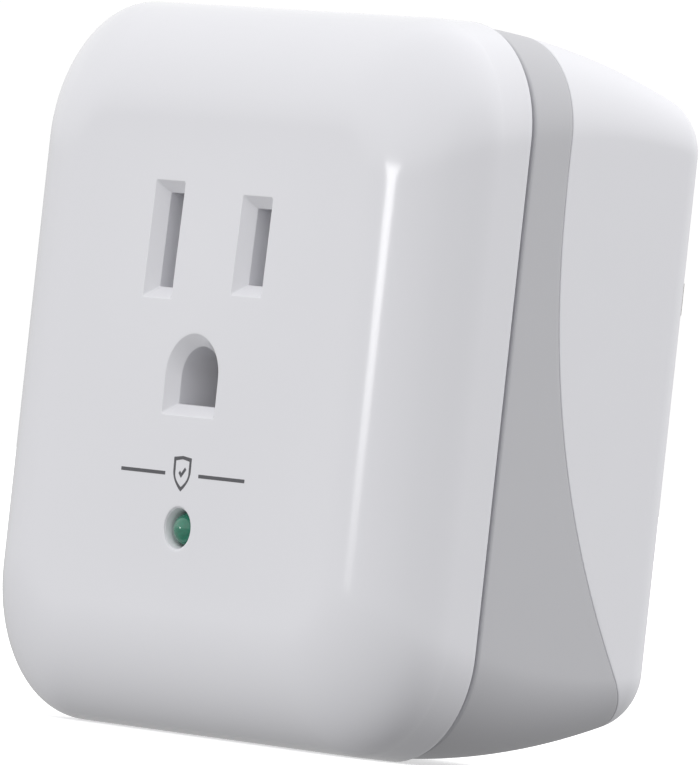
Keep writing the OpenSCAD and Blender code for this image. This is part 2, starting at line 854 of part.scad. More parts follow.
// The tinned leads of every part on the board
module component_leads() color("lightgray") {
    disc_foot_y = disc_y + sqrt(disc_r * disc_r - disc_pitch * disc_pitch / 4) + fit_gap;
    for (at = disc_leads) rod(at.x, at.y, lead_r, disc_foot_y, lead_end_y);
    for (at = concat(capacitor_leads, fuse_leads))
        rod(at.x, at.y, lead_r, board_y[0] - body_gap + fit_gap, lead_end_y);
    for (x = resistor_x) axial_leads_of(x, resistor_l);
    axial_leads_of(diode_x, diode_l);
    rod(thermal_x, disc_z, lead_r, thermal_y[1] + fit_gap, lead_end_y);
    // the fuse's upper lead loops over and comes down beside its sleeve
    top_y = thermal_y[0] - 1.5;
    rod(thermal_x, disc_z, lead_r, top_y, thermal_y[0] - fit_gap);
    translate([thermal_x, top_y, disc_z]) sphere(lead_r);
    translate([thermal_x, top_y, disc_z]) cylinder(h = thermal_leads[0].y - disc_z, r = lead_r);
    translate([thermal_x, top_y, thermal_leads[0].y]) sphere(lead_r);
    rod(thermal_x, thermal_leads[0].y, lead_r, top_y, lead_end_y);
}

// Indicator

module indicator_led() color("seagreen") {
    dome_y = led_tip_y + led_r;
    translate([0, dome_y, led_z]) sphere(led_r);
    rod(0, led_z, led_r, dome_y, led_flange_y[1]);
    rod(0, led_z, led_flange_r, led_flange_y[0], led_flange_y[1]);
}

module led_legs() color("lightgray") {
    for (side = [-1, 1]) rod(side * leg_x, led_z, leg_r, led_flange_y[1] + fit_gap, lead_end_y);
}

module led_spacer() color("white") {
    y = [led_flange_y[1] + 2 * fit_gap, board_y[0] - body_gap];
    difference() {
        rod(0, led_z, led_flange_r, y[0], y[1]);
        for (side = [-1, 1]) rod(side * leg_x, led_z, leg_hole_r, y[0] - past, y[1] + past);
    }
}

front_cover();
accent_band();
rear_housing();
hot_blade();
neutral_blade();
ground_pin();
blade_plate();
insulation_sheet();
circuit_board();
board_screws();
housing_screws();
contact_carrier();
contact_cover();
carrier_screws();
hot_contact();
neutral_contact();
ground_contact();
safety_shutter();
shutter_spring();
line_neutral_varistor();
line_ground_varistor();
neutral_ground_varistor();
thermal_fuse();
fuse_sleeve();
circuit_fuse();
filter_capacitor();
dropper_resistors();
rectifier_diode();
component_leads();
indicator_led();
led_legs();
led_spacer();
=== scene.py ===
import json
import math

import bmesh
import bpy
import numpy as np
from bpy.props import FloatProperty, FloatVectorProperty, PointerProperty
from bpy.types import Operator, Panel, PropertyGroup
from mathutils import Matrix, Vector
from mathutils.geometry import delaunay_2d_cdt


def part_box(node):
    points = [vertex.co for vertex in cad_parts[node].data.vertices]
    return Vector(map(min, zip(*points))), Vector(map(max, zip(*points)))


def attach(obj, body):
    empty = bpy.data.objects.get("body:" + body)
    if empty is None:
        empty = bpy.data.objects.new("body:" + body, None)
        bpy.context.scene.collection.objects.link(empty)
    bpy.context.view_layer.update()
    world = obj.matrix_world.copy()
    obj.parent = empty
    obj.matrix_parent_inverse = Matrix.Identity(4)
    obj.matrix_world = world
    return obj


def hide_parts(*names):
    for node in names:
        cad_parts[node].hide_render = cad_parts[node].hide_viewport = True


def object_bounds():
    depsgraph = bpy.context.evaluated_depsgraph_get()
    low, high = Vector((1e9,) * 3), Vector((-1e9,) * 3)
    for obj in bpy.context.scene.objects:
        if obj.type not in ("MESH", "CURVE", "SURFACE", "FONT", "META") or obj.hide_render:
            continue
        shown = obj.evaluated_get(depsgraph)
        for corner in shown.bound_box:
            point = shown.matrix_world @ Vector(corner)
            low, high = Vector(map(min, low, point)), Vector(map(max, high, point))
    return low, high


bl_info = {
    "name": "Surge Protector Plug",
    "version": (1, 0, 0),
    "blender": (4, 5, 0),
    "location": "View3D > Sidebar > Surge Plug",
    "description": "Builds a plug-in surge protector's casing, prongs and lamp on its frame",
    "category": "Add Mesh",
}

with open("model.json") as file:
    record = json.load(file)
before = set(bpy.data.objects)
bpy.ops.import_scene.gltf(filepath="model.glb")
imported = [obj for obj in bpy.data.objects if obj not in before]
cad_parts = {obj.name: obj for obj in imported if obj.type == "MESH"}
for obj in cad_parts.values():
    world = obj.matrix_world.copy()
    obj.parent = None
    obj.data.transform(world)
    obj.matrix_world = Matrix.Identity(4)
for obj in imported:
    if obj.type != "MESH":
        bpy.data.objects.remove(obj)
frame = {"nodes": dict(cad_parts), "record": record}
CAD_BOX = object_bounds()
HOUSING = next(body for body, nodes in frame["record"]["behaviour"]["bodies"].items()
               if "front_cover" in nodes)
SLOT_OF = {row["node"]: row["material_slot"] for row in frame["record"]["subparts"]}
MM = 0.001

# Places and outer sizes taken from the frame
COVER_LOW, COVER_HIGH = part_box("front_cover")
BODY_W = COVER_HIGH.x - COVER_LOW.x
BODY_H = COVER_HIGH.z - COVER_LOW.z
MID_Z = (COVER_LOW.z + COVER_HIGH.z) / 2
CROWN_Y = COVER_LOW.y
PIN_LOW, PIN_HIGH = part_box("ground_pin")
GROUND_Z = (PIN_LOW.z + PIN_HIGH.z) / 2
LAMP_LOW, LAMP_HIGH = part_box("indicator_led")
LAMP_Z = (LAMP_LOW.z + LAMP_HIGH.z) / 2
HOT_LOW, HOT_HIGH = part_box("hot_blade")
NEUTRAL_LOW, NEUTRAL_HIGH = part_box("neutral_blade")
HOT_X = (HOT_LOW.x + HOT_HIGH.x) / 2
NEUTRAL_X = (NEUTRAL_LOW.x + NEUTRAL_HIGH.x) / 2


def length(name, description, default):
    """A size that a user may change, in metres."""
    return FloatProperty(name=name, description=description, default=default, min=0,
                         precision=5, unit="LENGTH", subtype="DISTANCE")


def colour(name, description, default):
    return FloatVectorProperty(name=name, description=description, default=default, min=0,
                               max=1, size=3, subtype="COLOR")


def factor(name, description, default):
    return FloatProperty(name=name, description=description, default=default, min=0, max=1,
                         subtype="FACTOR")


class CasingSettings(PropertyGroup):
    """Shape and finish of the front cover, the band and the rear housing"""

    seam_depth: length("Seam depth", "From the flat back to the front cover's seam", 22.5 * MM)
    rim_corner: length("Rim corner", "Corner radius at the front cover's rim", 10.1 * MM)
    skirt_depth: length("Skirt depth", "Depth of the cover's straight skirt", 3 * MM)
    skirt_draft: length("Skirt draft", "How far the skirt leans in", 0.06 * MM)
    shoulder_in: length("Shoulder in", "How far the rounded shoulder comes in", 10.8 * MM)
    shoulder_depth: length("Shoulder depth", "Depth of the rounded shoulder", 7.3 * MM)
    shoulder_power: FloatProperty(
        name="Shoulder power", description="Power on the shoulder's sine and cosine", default=0.94)
    shoulder_corner: length("Shoulder corner", "Corner radius where the shoulder leaves the skirt",
                            10.9 * MM)
    face_corner: length("Face corner", "Corner radius where shoulder and face meet", 3 * MM)
    crown: length("Crown", "How far the face stands out at its middle", 0.36 * MM)
    cover_wall: length("Cover wall", "Wall thickness of the front cover", 2 * MM)
    rim_step: length("Rim step", "How far the housing stands in from the cover", 0.3 * MM)
    groove: length("Groove", "Gap between the cover and the band", 0.6 * MM)
    groove_edge: length("Groove edge", "Radius of the band's edge at the groove", 0.3 * MM)
    back_w: length("Back width", "Width of the back over its edge radius", 55.7 * MM)
    back_h: length("Back height", "Height of the back over its edge radius", 53.9 * MM)
    back_corner: length("Back corner", "Corner radius of the back", 4.2 * MM)
    back_edge: length("Back edge", "Radius of the edge around the back", 2.5 * MM)
    back_rise: length("Back rise", "How much higher the back sits than the cover", 0.1 * MM)
    bulge: length("Bulge", "How far the sides above and below swell", 1.15 * MM)
    band_top: length("Band depth at the top", "Depth of the band beside the outlet", 5.2 * MM)
    band_bottom: length("Band depth at the foot", "Depth of the band along the foot", 19.8 * MM)
    band_wall: length("Band wall", "Thickness of the band", 1.2 * MM)
    housing_wall: length("Housing wall", "Wall thickness of the rear housing", 2.8 * MM)
    joint_gap: length("Joint gap", "Fine gap between the band and the housing", 0.03 * MM)
    soft_edge: length("Soft edge", "Radius on the moulded edges", 0.12 * MM)
    cover_colour: colour("Cover colour", "White of the front cover", (0.78, 0.78, 0.815))
    band_colour: colour("Band colour", "Grey of the band", (0.53, 0.53, 0.555))
    housing_colour: colour("Housing colour", "White of the rear housing", (0.78, 0.78, 0.815))
    cover_roughness: factor("Cover roughness", "Roughness of the polished cover", 0.12)
    band_roughness: factor("Band roughness", "Roughness of the satin band", 0.42)
    housing_roughness: factor("Housing roughness", "Roughness of the rear housing", 0.34)


class OutletSettings(PropertyGroup):
    """Openings of the outlet in the front cover"""

    slot_w: length("Slot width", "Width of both blade slots", 2.2 * MM)
    neutral_h: length("Neutral slot height", "Height of the longer slot", 8.4 * MM)
    hot_h: length("Hot slot height", "Height of the shorter slot", 6.8 * MM)
    ground_r: length("Ground hole radius", "Radius of the ground hole's top", 2.75 * MM)
    ground_foot: length("Ground hole foot", "From its centre to its flat foot", 2.5 * MM)
    lead_in: length("Lead-in", "Chamfer around the openings", 1.05 * MM)
    lamp_hole_r: length("Lamp hole radius", "Outer radius of the lamp's hole", 1.875 * MM)
    lamp_bore_r: length("Lamp bore radius", "Radius of that hole past its countersink", 1.6 * MM)
    lamp_sink: length("Lamp countersink", "Depth of the countersink", 0.6 * MM)


class ProngSettings(PropertyGroup):
    """Shape and finish of the plug's blades and ground pin"""

    blade_t: length("Blade thickness", "Thickness of the blades", 1.5 * MM)
    tip_w: length("Tip width", "Width of the blades' flat tip", 3 * MM)
    tip_l: length("Tip length", "Length of the tip's corner chamfers", 1.9 * MM)
    hole_r: length("Blade hole radius", "Radius of the hole near each tip", 1.6 * MM)
    hole_y: length("Blade hole place", "From the back to that hole", 11.7 * MM)
    coined: length("Coined tip", "How much each side thins towards the tip", 0.06 * MM)
    soft_edge: length("Soft edge", "Radius on the stamped edges", 0.12 * MM)
    pin_r: length("Pin radius", "Radius of the ground pin", 2.38 * MM)
    metal: colour("Metal", "Colour of the nickel plating", (0.62, 0.61, 0.59))


class LampSettings(PropertyGroup):
    """Indicator lamp and the mark above it"""

    lens: colour("Lens", "Colour of the lamp's lens", (0.004, 0.17, 0.1))
    ink: colour("Ink", "Colour of the printed mark", (0.085, 0.085, 0.095))
    mark_rise: length("Mark height", "From the lamp up to the mark's middle", 4.75 * MM)
    mark_w: length("Mark width", "Width over the mark's two lines", 17.8 * MM)
    mark_h: length("Mark size", "Height of the small shield", 3 * MM)


class StageSettings(PropertyGroup):
    """Camera, floor and studio light"""

    azimuth: FloatProperty(name="Azimuth", description="Camera's turn from the front",
                           default=math.radians(51.42), unit="ROTATION", subtype="ANGLE")
    elevation: FloatProperty(name="Elevation", description="Camera's height angle",
                             default=math.radians(-0.448), unit="ROTATION", subtype="ANGLE")
    roll: FloatProperty(name="Roll", description="Camera's roll",
                        default=math.radians(6.214), unit="ROTATION", subtype="ANGLE")
    distance: length("Distance", "From the camera to the body's middle", 1034.8 * MM)
    lens: FloatProperty(name="Lens", description="Focal length in millimetres", default=546.0)
    sky: FloatProperty(name="Sky", description="Brightness of the light from all around",
                       default=1.47)
    strip: FloatProperty(name="Strip", description="Brightness of the narrow front light",
                         default=9.5)
    side: FloatProperty(name="Side", description="Power of the large side light", default=4.6)
    floor: colour("Floor", "Colour of the floor", (0.92, 0.92, 0.92))


# Shapes


CORNER_STEPS = 20
SIDE_STEPS = 44
TOP_STEPS = 16


def outline_template():
    """Rows of (corner weight x, corner weight z, cosine, sine) once round a rounded rectangle."""
    corners = [(1, 1), (-1, 1), (-1, -1), (1, -1)]
    rows = []
    for k, (x, z) in enumerate(corners):
        turns = np.radians(90 * k + np.linspace(0, 90, CORNER_STEPS + 1))
        rows += [(x, z, math.cos(t), math.sin(t)) for t in turns]
        steps = SIDE_STEPS if k % 2 else TOP_STEPS
        x2, z2 = corners[(k + 1) % 4]
        c, s = math.cos(turns[-1]), math.sin(turns[-1])
        for i in range(1, steps):
            rows.append((x + (x2 - x) * i / steps, z + (z2 - z) * i / steps, c, s))
    return np.array(rows).T


OUTLINE = outline_template()


def ring(y, half_w, half_h, r, middle=MID_Z):
    """Points of a rounded rectangle about height middle; each argument may vary round it."""
    weight_x, weight_z, c, s = OUTLINE
    x = weight_x * (half_w - r) + r * c
    z = middle + weight_z * (half_h - r) + r * s
    return np.stack([x, y + 0 * x, z], axis=1)


def small_outline(x, z, half_w, half_h, r, y, steps=6):
    """Points of a small rounded rectangle at depth y."""
    points = []
    for k, (sx, sz) in enumerate([(1, 1), (-1, 1), (-1, -1), (1, -1)]):
        for i in range(steps + 1):
            t = math.radians(90 * (k + i / steps))
            points.append((x + sx * (half_w - r) + r * math.cos(t), y,
                           z + sz * (half_h - r) + r * math.sin(t)))
    return np.array(points)


def circle(x, z, r, y, steps=48):
    turns = np.arange(steps) * 2 * math.pi / steps
    return np.stack([x + r * np.cos(turns), y + 0 * turns, z + r * np.sin(turns)], axis=1)


def arched_outline(x, z, r, foot, y, corner, steps=36):
    """Points of a half round top over a flat foot with small rounded corners."""
    points = [(x + r * math.cos(t), z + r * math.sin(t)) for t in np.linspace(0, math.pi, steps)]
    for k, side in ((2, -1), (3, 1)):
        for i in range(7):
            t = math.radians(90 * (k + i / 6))
            points.append((x + side * (r - corner) + corner * math.cos(t),
                           z - foot + corner + corner * math.sin(t)))
    return np.array([(px, y, pz) for px, pz in points])


def inside(loop, places):
    """Which of the places lie inside a closed loop, both as rows of two numbers."""
    hits = np.zeros(len(places), bool)
    for (x1, z1), (x2, z2) in zip(loop, np.roll(loop, -1, axis=0)):
        crosses = (z1 > places[:, 1]) != (z2 > places[:, 1])
        if z1 != z2:
            at = x1 + (places[:, 1] - z1) * (x2 - x1) / (z2 - z1)
            hits ^= crosses & (places[:, 0] < at)
    return hits


def place_object(name, data):
    """Makes an object for a mesh, lamp or camera and links it into the scene."""
    made = bpy.data.objects.new(name, data)
    bpy.context.scene.collection.objects.link(made)
    return made


def mesh_from(name, work):
    """Turns a mesh being built into a finished mesh and frees it."""
    mesh = bpy.data.meshes.new(name)
    work.to_mesh(mesh)
    work.free()
    return mesh


class Skin:
    """A closed surface put together from walls between loops and from plates with holes.

    Loops run anticlockwise as seen from the front. A wall faces out when its first loop
    lies in front of its second, and a hole's loops are walked from deep to shallow.
    """

    def __init__(self):
        self.points = []
        self.faces = []

    def loop(self, points):
        first = len(self.points)
        self.points.extend(map(tuple, points))
        return list(range(first, len(self.points)))

    def wall(self, a, b):
        for j in range(len(a)):
            k = (j + 1) % len(a)
            self.faces.append((a[j], b[j], b[k], a[k]))

    def chain(self, loops):
        """Joins loops one after another, each given as indices or as points, and returns them."""
        made = [one if isinstance(one, list) else self.loop(one) for one in loops]
        for a, b in zip(made, made[1:]):
            self.wall(a, b)
        return made

    def plate(self, outer, holes, facing, depth=None):
        """Fills between an outer loop and the holes, with more points where depth gives a curve."""
        step = FACE_STEP
        loops = [outer, *holes]
        flat = [np.array([self.points[i] for i in one])[:, [0, 2]] for one in loops]
        places = np.concatenate(flat)
        indices = [i for one in loops for i in one]
        edges, start = [], 0
        for one in loops:
            n = len(one)
            edges += [(start + i, start + (i + 1) % n) for i in range(n)]
            start += n
        if depth is not None:
            low, high = places.min(axis=0), places.max(axis=0)
            xs = np.arange(low[0] + step / 2, high[0], step)
            zs = np.arange(low[1] + step / 2, high[1], step)
            grid = np.array([(x, z) for x in xs for z in zs])
            grid = grid[inside(flat[0], grid)]
            for one in flat[1:]:
                grid = grid[~inside(one, grid)]
            gaps = np.linalg.norm(grid[:, None] - places[None], axis=2).min(axis=1)
            grid = grid[gaps > step * POINT_MARGIN]
            extra = self.loop([(x, depth(x, z), z) for x, z in grid])
            places = np.concatenate([places, grid])
            indices += extra
        made = delaunay_2d_cdt([Vector(p) for p in places], edges, [], 0, 1e-9)
        verts, triangles, origins = made[0], made[2], made[3]
        middles = np.array([np.mean([verts[v] for v in t], axis=0) for t in triangles])
        keep = inside(flat[0], middles)
        for one in flat[1:]:
            keep &= ~inside(one, middles)
        for t, kept in zip(triangles, keep):
            if kept:
                corners = [indices[origins[v][0]] for v in t]
                self.faces.append(tuple(corners if facing == "front" else corners[::-1]))

    def piece(self, name, material, sharp=50):
        """Makes the object, smooth except where faces meet at more than sharp degrees."""
        mesh = bpy.data.meshes.new(name)
        mesh.from_pydata(self.points, [], self.faces)
        return finish_piece(mesh, name, material, sharp)


def finish_piece(mesh, name, material, sharp=50):
    """Shades a mesh, gives it its material and its body, and returns its object."""
    work = bmesh.new()
    work.from_mesh(mesh)
    bmesh.ops.remove_doubles(work, verts=work.verts, dist=1e-7)
    limit = math.radians(sharp)
    for face in work.faces:
        face.smooth = True
    for edge in work.edges:
        edge.smooth = len(edge.link_faces) == 2 and edge.calc_face_angle() < limit
    loose = [v for v in work.verts if not v.link_faces]
    bmesh.ops.delete(work, geom=loose, context="VERTS")
    work.to_mesh(mesh)
    work.free()
    made = place_object(name, mesh)
    mesh.materials.append(material)
    shade = made.modifiers.new("even_normals", "WEIGHTED_NORMAL")
    shade.keep_sharp = True
    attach(made, HOUSING)
    return made


def stand_for(piece, node):
    """The piece takes the place of a CAD node, which is hidden."""
    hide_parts(node)


def lathe(name, profile, z, material, steps):
    """Turns a profile of (radius, y) points about an axis along Y, from front to back."""
    skin = Skin()
    loops = skin.chain([circle(0, z, max(r, 1e-6), y, steps) for r, y in profile])
    skin.faces.append(tuple(loops[0]))
    skin.faces.append(tuple(loops[-1][::-1]))
    return skin.piece(name, material, sharp=40)


def quarter(steps=4):
    """Turns of a quarter circle, from 0 to a right angle."""
    return np.linspace(0, math.pi / 2, steps + 1)


def rounding(radius, steps=4):
    """Distances from both faces of a rounded edge, from where it meets one to the other."""
    return [(radius * (1 - math.sin(t)), radius * (1 - math.cos(t))) for t in quarter(steps)]


# Casing shape


def seam_y():
    return -bpy.context.scene.plug_casing.seam_depth


def skirt_y():
    return seam_y() - bpy.context.scene.plug_casing.skirt_depth


def face_y():
    return skirt_y() - bpy.context.scene.plug_casing.shoulder_depth


def crown_depth(x, z):
    """Depth of the face at a place: it rises smoothly from its edge to a low crown."""
    s = bpy.context.scene.plug_casing
    inset = s.skirt_draft + s.shoulder_in
    u = x / (BODY_W / 2 - inset)
    v = (z - MID_Z) / (BODY_H / 2 - inset)
    rise = (1 - min(u * u, 1)) * (1 - min(v * v, 1))
    return max(face_y() - s.crown * rise * rise, CROWN_Y)


def on_face(points):
    """Points whose y counts from the crowned face, moved to where that face is."""
    return np.array([(x, y + crown_depth(x, z), z) for x, y, z in points])


def shoulder_ring(t, wall=0.0):
    """Ring of the cover's shoulder: t runs from 0 at the skirt to a right angle at the face."""
    s = bpy.context.scene.plug_casing
    rise = 1 - max(math.cos(t), 0) ** s.shoulder_power
    inset = s.skirt_draft + s.shoulder_in * rise + wall
    corner = s.shoulder_corner + (s.face_corner - s.shoulder_corner) * rise * rise
    y = skirt_y() - s.shoulder_depth * math.sin(t) ** s.shoulder_power + wall
    return ring(y, BODY_W / 2 - inset, BODY_H / 2 - inset, max(corner - wall, 0.5 * MM))


def shoulder_turns(count):
    """Turns from the face to the skirt, closer together at both ends."""
    even = np.linspace(1, 0, count)
    return [math.pi / 2 * (u - math.sin(2 * math.pi * u) / (2 * math.pi) * END_CROWDING)
            for u in even]


def body_ring(y, inset=0.0):
    """Ring of the housing's outside at depth y, which may vary round it."""
    s = bpy.context.scene.plug_casing
    u = (y - seam_y()) / s.seam_depth
    half_w = BODY_W / 2 - s.rim_step
    half_h = BODY_H / 2 - s.rim_step
    swell = s.bulge * 4 * u * (1 - u)
    corner = np.maximum(s.rim_corner + (s.back_corner - s.rim_corner) * u - inset, 0.3 * MM)
    return ring(y, half_w + (s.back_w / 2 - half_w) * u - inset,
                half_h + (s.back_h / 2 - half_h) * u + swell - inset, corner,
                MID_Z + s.back_rise * u)


# The band's rear edge: where it starts to fall, how fast, and how softly it levels out
CURVE_START_Z = 10.5 * MM
CURVE_GAIN = 0.0016
CURVE_POWER = 2.36
CURVE_BLEND = 24
JOINT_PASSES = 12


def band_depth(z):
    """Depth of the band behind the seam at height z: level, then falling, then level again."""
    s = bpy.context.scene.plug_casing
    drop = np.maximum(CURVE_START_Z - z, 0) / MM
    fall = s.band_top + CURVE_GAIN * drop ** CURVE_POWER * MM
    return (fall ** -CURVE_BLEND + s.band_bottom ** -CURVE_BLEND) ** (-1 / CURVE_BLEND)


def joint_ring_y():
    """Depth of the joint between band and housing at each point round the body."""
    y = seam_y() + band_depth(ring(0, BODY_W / 2, BODY_H / 2, 10 * MM)[:, 2])
    for _ in range(JOINT_PASSES):
        y = seam_y() + band_depth(body_ring(y)[:, 2])
    return y


# Places of the posts and screws inside, shared by the cover and the housing
SCREW_X = 20.5 * MM
SCREW_Z = (9.9 * MM, -31.9 * MM)
SCREW_PLACES = [(side * SCREW_X, z) for side in (-1, 1) for z in SCREW_Z]
POST_JOINT_Y = -9.6 * MM
COVER_POST_R = 3.2 * MM
COVER_POST_TAPER = 1.2 * MM
COVER_BORE_R = 1.55 * MM
COVER_BORE_END_Y = -20 * MM
HOUSING_POST_R = 4.4 * MM
HOUSING_BORE_R = 1.7 * MM
COUNTERBORE_R = 3.1 * MM
COUNTERBORE_Y = -5.5 * MM
BACK_WALL = 2.5 * MM
# Posts that carry the board and pins that place the blades' plate: x, z, radius and end
STANDING_POSTS = [(side * 21.8 * MM, -1.5 * MM, 3 * MM, -6.95 * MM) for side in (-1, 1)]
STANDING_POSTS += [(side * 9.8 * MM, -13 * MM, 1.2 * MM, -5 * MM) for side in (-1, 1)]
# Pad behind the outlet and collar round the ground hole, inside the cover
PAD_Y = -29.4 * MM
PAD_HALF_W = 15.5 * MM
PAD_Z = (-17.6 * MM, 7.2 * MM)
COLLAR_R = 4.3 * MM
COLLAR_Y = -27 * MM
# Lip of the housing inside the cover's rim, and the step that carries the band
LIP_L = 1.6 * MM
LIP_GAP = 0.15 * MM
BAND_STEP = 0.1 * MM
# Clearance round the band, the posts and the prongs
FIT_GAP = 0.05 * MM
COLLAR_HOLE_R = 2.65 * MM

# Corner radius of the openings and how much of a lead-in's growth it takes up
SLOT_CORNER = 0.1 * MM
GROUND_CORNER = 0.12 * MM
CORNER_GROWTH = 0.15

# The cover's rim is rounded this much more than the other edges
RIM_SOFTNESS = 1.3
# Flat margin kept round a rounded hole, in radii of its edge
BRIM = 3

# How finely the large curves are divided, and how much closer the shoulder's ends are
SHOULDER_RINGS = 44
END_CROWDING = 0.55
FACE_STEP = 1.3 * MM
# Points on the face keep this share of a step away from each outline
POINT_MARGIN = 0.45


def opening(skin, deep, outline, lead_in, soft):
    """An opening with a chamfered lead-in: walls from the deep loop up to the face.

    outline(grow, y) gives its points; the chamfer's two edges are rounded by soft.
    """
    reach = soft * math.tan(math.pi / 8)
    loops = [deep, on_face(outline(0, lead_in + BRIM * soft))]
    for turn in quarter(3) / 2:
        loops.append(on_face(outline(soft * (1 - math.cos(turn)),
                                     lead_in + reach - soft * math.sin(turn))))
    for turn in quarter(3) / 2 + math.pi / 4:
        loops.append(on_face(outline(lead_in + reach - soft * math.cos(turn),
                                     soft * (1 - math.sin(turn)))))
    loops.append(on_face(outline(lead_in + reach + 2 * soft, 0)))
    return skin.chain(loops)[-1]


def build_cover():
    """The front cover: outer skin, openings, pad and posts, and its hollow inside."""
    casing = bpy.context.scene.plug_casing
    outlet = bpy.context.scene.plug_outlet
    soft = casing.soft_edge
    skin = Skin()

    # outer skin, from the face's edge over the shoulder and skirt to the rim, then inside
    outside = [shoulder_ring(t) for t in shoulder_turns(SHOULDER_RINGS)]
    corner = casing.rim_corner
    for share in np.linspace(1, 0, 7)[1:-1]:
        lean = casing.skirt_draft * share
        outside.append(ring(seam_y() - casing.skirt_depth * share, BODY_W / 2 - lean,
                            BODY_H / 2 - lean, corner + (casing.shoulder_corner - corner) * share))
    for gap, inset in rounding(RIM_SOFTNESS * soft):
        outside.append(ring(seam_y() - gap, BODY_W / 2 - inset, BODY_H / 2 - inset,
                            corner - inset))
    wall = casing.cover_wall
    outside.append(ring(seam_y(), BODY_W / 2 - wall, BODY_H / 2 - wall, corner - wall))
    outside += [shoulder_ring(t, wall) for t in quarter(13)]
    made = skin.chain(outside)
    face_edge, inner_edge = made[0], made[-1]
    inner_y = face_y() + wall

    # inside: a pad behind the outlet, with a collar round the ground hole
    pad_z = sum(PAD_Z) / 2
    pad_half_h = (PAD_Z[1] - PAD_Z[0]) / 2
    pad = skin.chain([small_outline(0, pad_z, PAD_HALF_W, pad_half_h, 1 * MM, y)
                      for y in (inner_y, PAD_Y)])
    collar = skin.chain([circle(0, GROUND_Z, COLLAR_R, y) for y in (PAD_Y, COLLAR_Y)])

    def slot(x, height):
        def outline(grow, y):
            return small_outline(x, 0, outlet.slot_w / 2 + grow, height / 2 + grow,
                                 SLOT_CORNER + CORNER_GROWTH * grow, y)
        return outline

    def ground(grow, y):
        return arched_outline(0, GROUND_Z, outlet.ground_r + grow, outlet.ground_foot + grow, y,
                              GROUND_CORNER + CORNER_GROWTH * grow)

    def lamp(r, y):
        return circle(0, LAMP_Z, r, y)

    deep, shallow = [], []
    for x, height in ((HOT_X, outlet.hot_h), (NEUTRAL_X, outlet.neutral_h)):
        outline = slot(x, height)
        deep.append(skin.loop(outline(0, PAD_Y)))
        shallow.append(opening(skin, deep[-1], outline, outlet.lead_in, soft))
    ground_deep = skin.loop(ground(0, COLLAR_Y))
    shallow.append(opening(skin, ground_deep, ground, outlet.lead_in, soft))
    lamp_deep = skin.loop(lamp(outlet.lamp_bore_r, inner_y))
    sunk = outlet.lamp_sink
    flare = outlet.lamp_hole_r - outlet.lamp_bore_r
    lamp_loops = [lamp(outlet.lamp_bore_r, sunk + soft)]
    lamp_loops += [lamp(outlet.lamp_bore_r + flare * share, sunk * (1 - share))
                   for share in (0.08, 0.5, 0.8)]
    lamp_loops += [lamp(outlet.lamp_hole_r + grow, y) for y, grow in rounding(soft)]
    lamp_loops.append(lamp(outlet.lamp_hole_r + BRIM * soft, 0))
    shallow.append(skin.chain([lamp_deep, *map(on_face, lamp_loops)])[-1])

    # posts for the four long screws, tapered where they run into the shoulder's wall
    for x, z in SCREW_PLACES:
        loops = skin.chain([
            circle(x, z, COVER_POST_R - COVER_POST_TAPER, inner_y - 0.4 * MM),
            circle(x, z, COVER_POST_R, inner_y + 0.6 * MM),
            circle(x, z, COVER_POST_R, POST_JOINT_Y - soft),
            circle(x, z, COVER_POST_R - soft, POST_JOINT_Y),
            circle(x, z, COVER_BORE_R, POST_JOINT_Y),
            circle(x, z, COVER_BORE_R, COVER_BORE_END_Y),
        ])
        skin.plate(loops[0], [], "front")
        skin.plate(loops[-1], [], "back")

    skin.plate(face_edge, shallow, "front", crown_depth)
    skin.plate(inner_edge, [pad[0], lamp_deep], "back")
    skin.plate(pad[1], [*deep, collar[0]], "back")
    skin.plate(collar[1], [ground_deep], "back")
    return skin.piece("front_cover_shell", cover_plastic())


def build_band():
    """The band: a thin ring with a rounded front edge and a curved rear edge."""
    casing = bpy.context.scene.plug_casing
    soft, edge = casing.soft_edge, casing.groove_edge
    skin = Skin()
    front = seam_y() + casing.groove
    joint = joint_ring_y()
    # inner skin forward, round the front edge, back over the outside, round the rear edge
    loops = [body_ring(front + (joint - front) * share, casing.band_wall)
             for share in np.linspace(1, 0, 8)]
    loops += [body_ring(front + gap + 0 * joint, inset)
              for gap, inset in rounding(edge, 6)[::-1]]
    loops += [body_ring(front + edge + (joint - soft - front - edge) * share)
              for share in np.linspace(0, 1, 16)[1:-1]]
    loops += [body_ring(joint - gap, inset) for gap, inset in rounding(soft)]
    made = skin.chain(loops)
    skin.wall(made[-1], made[0])
    return skin.piece("accent_band_ring", band_plastic())


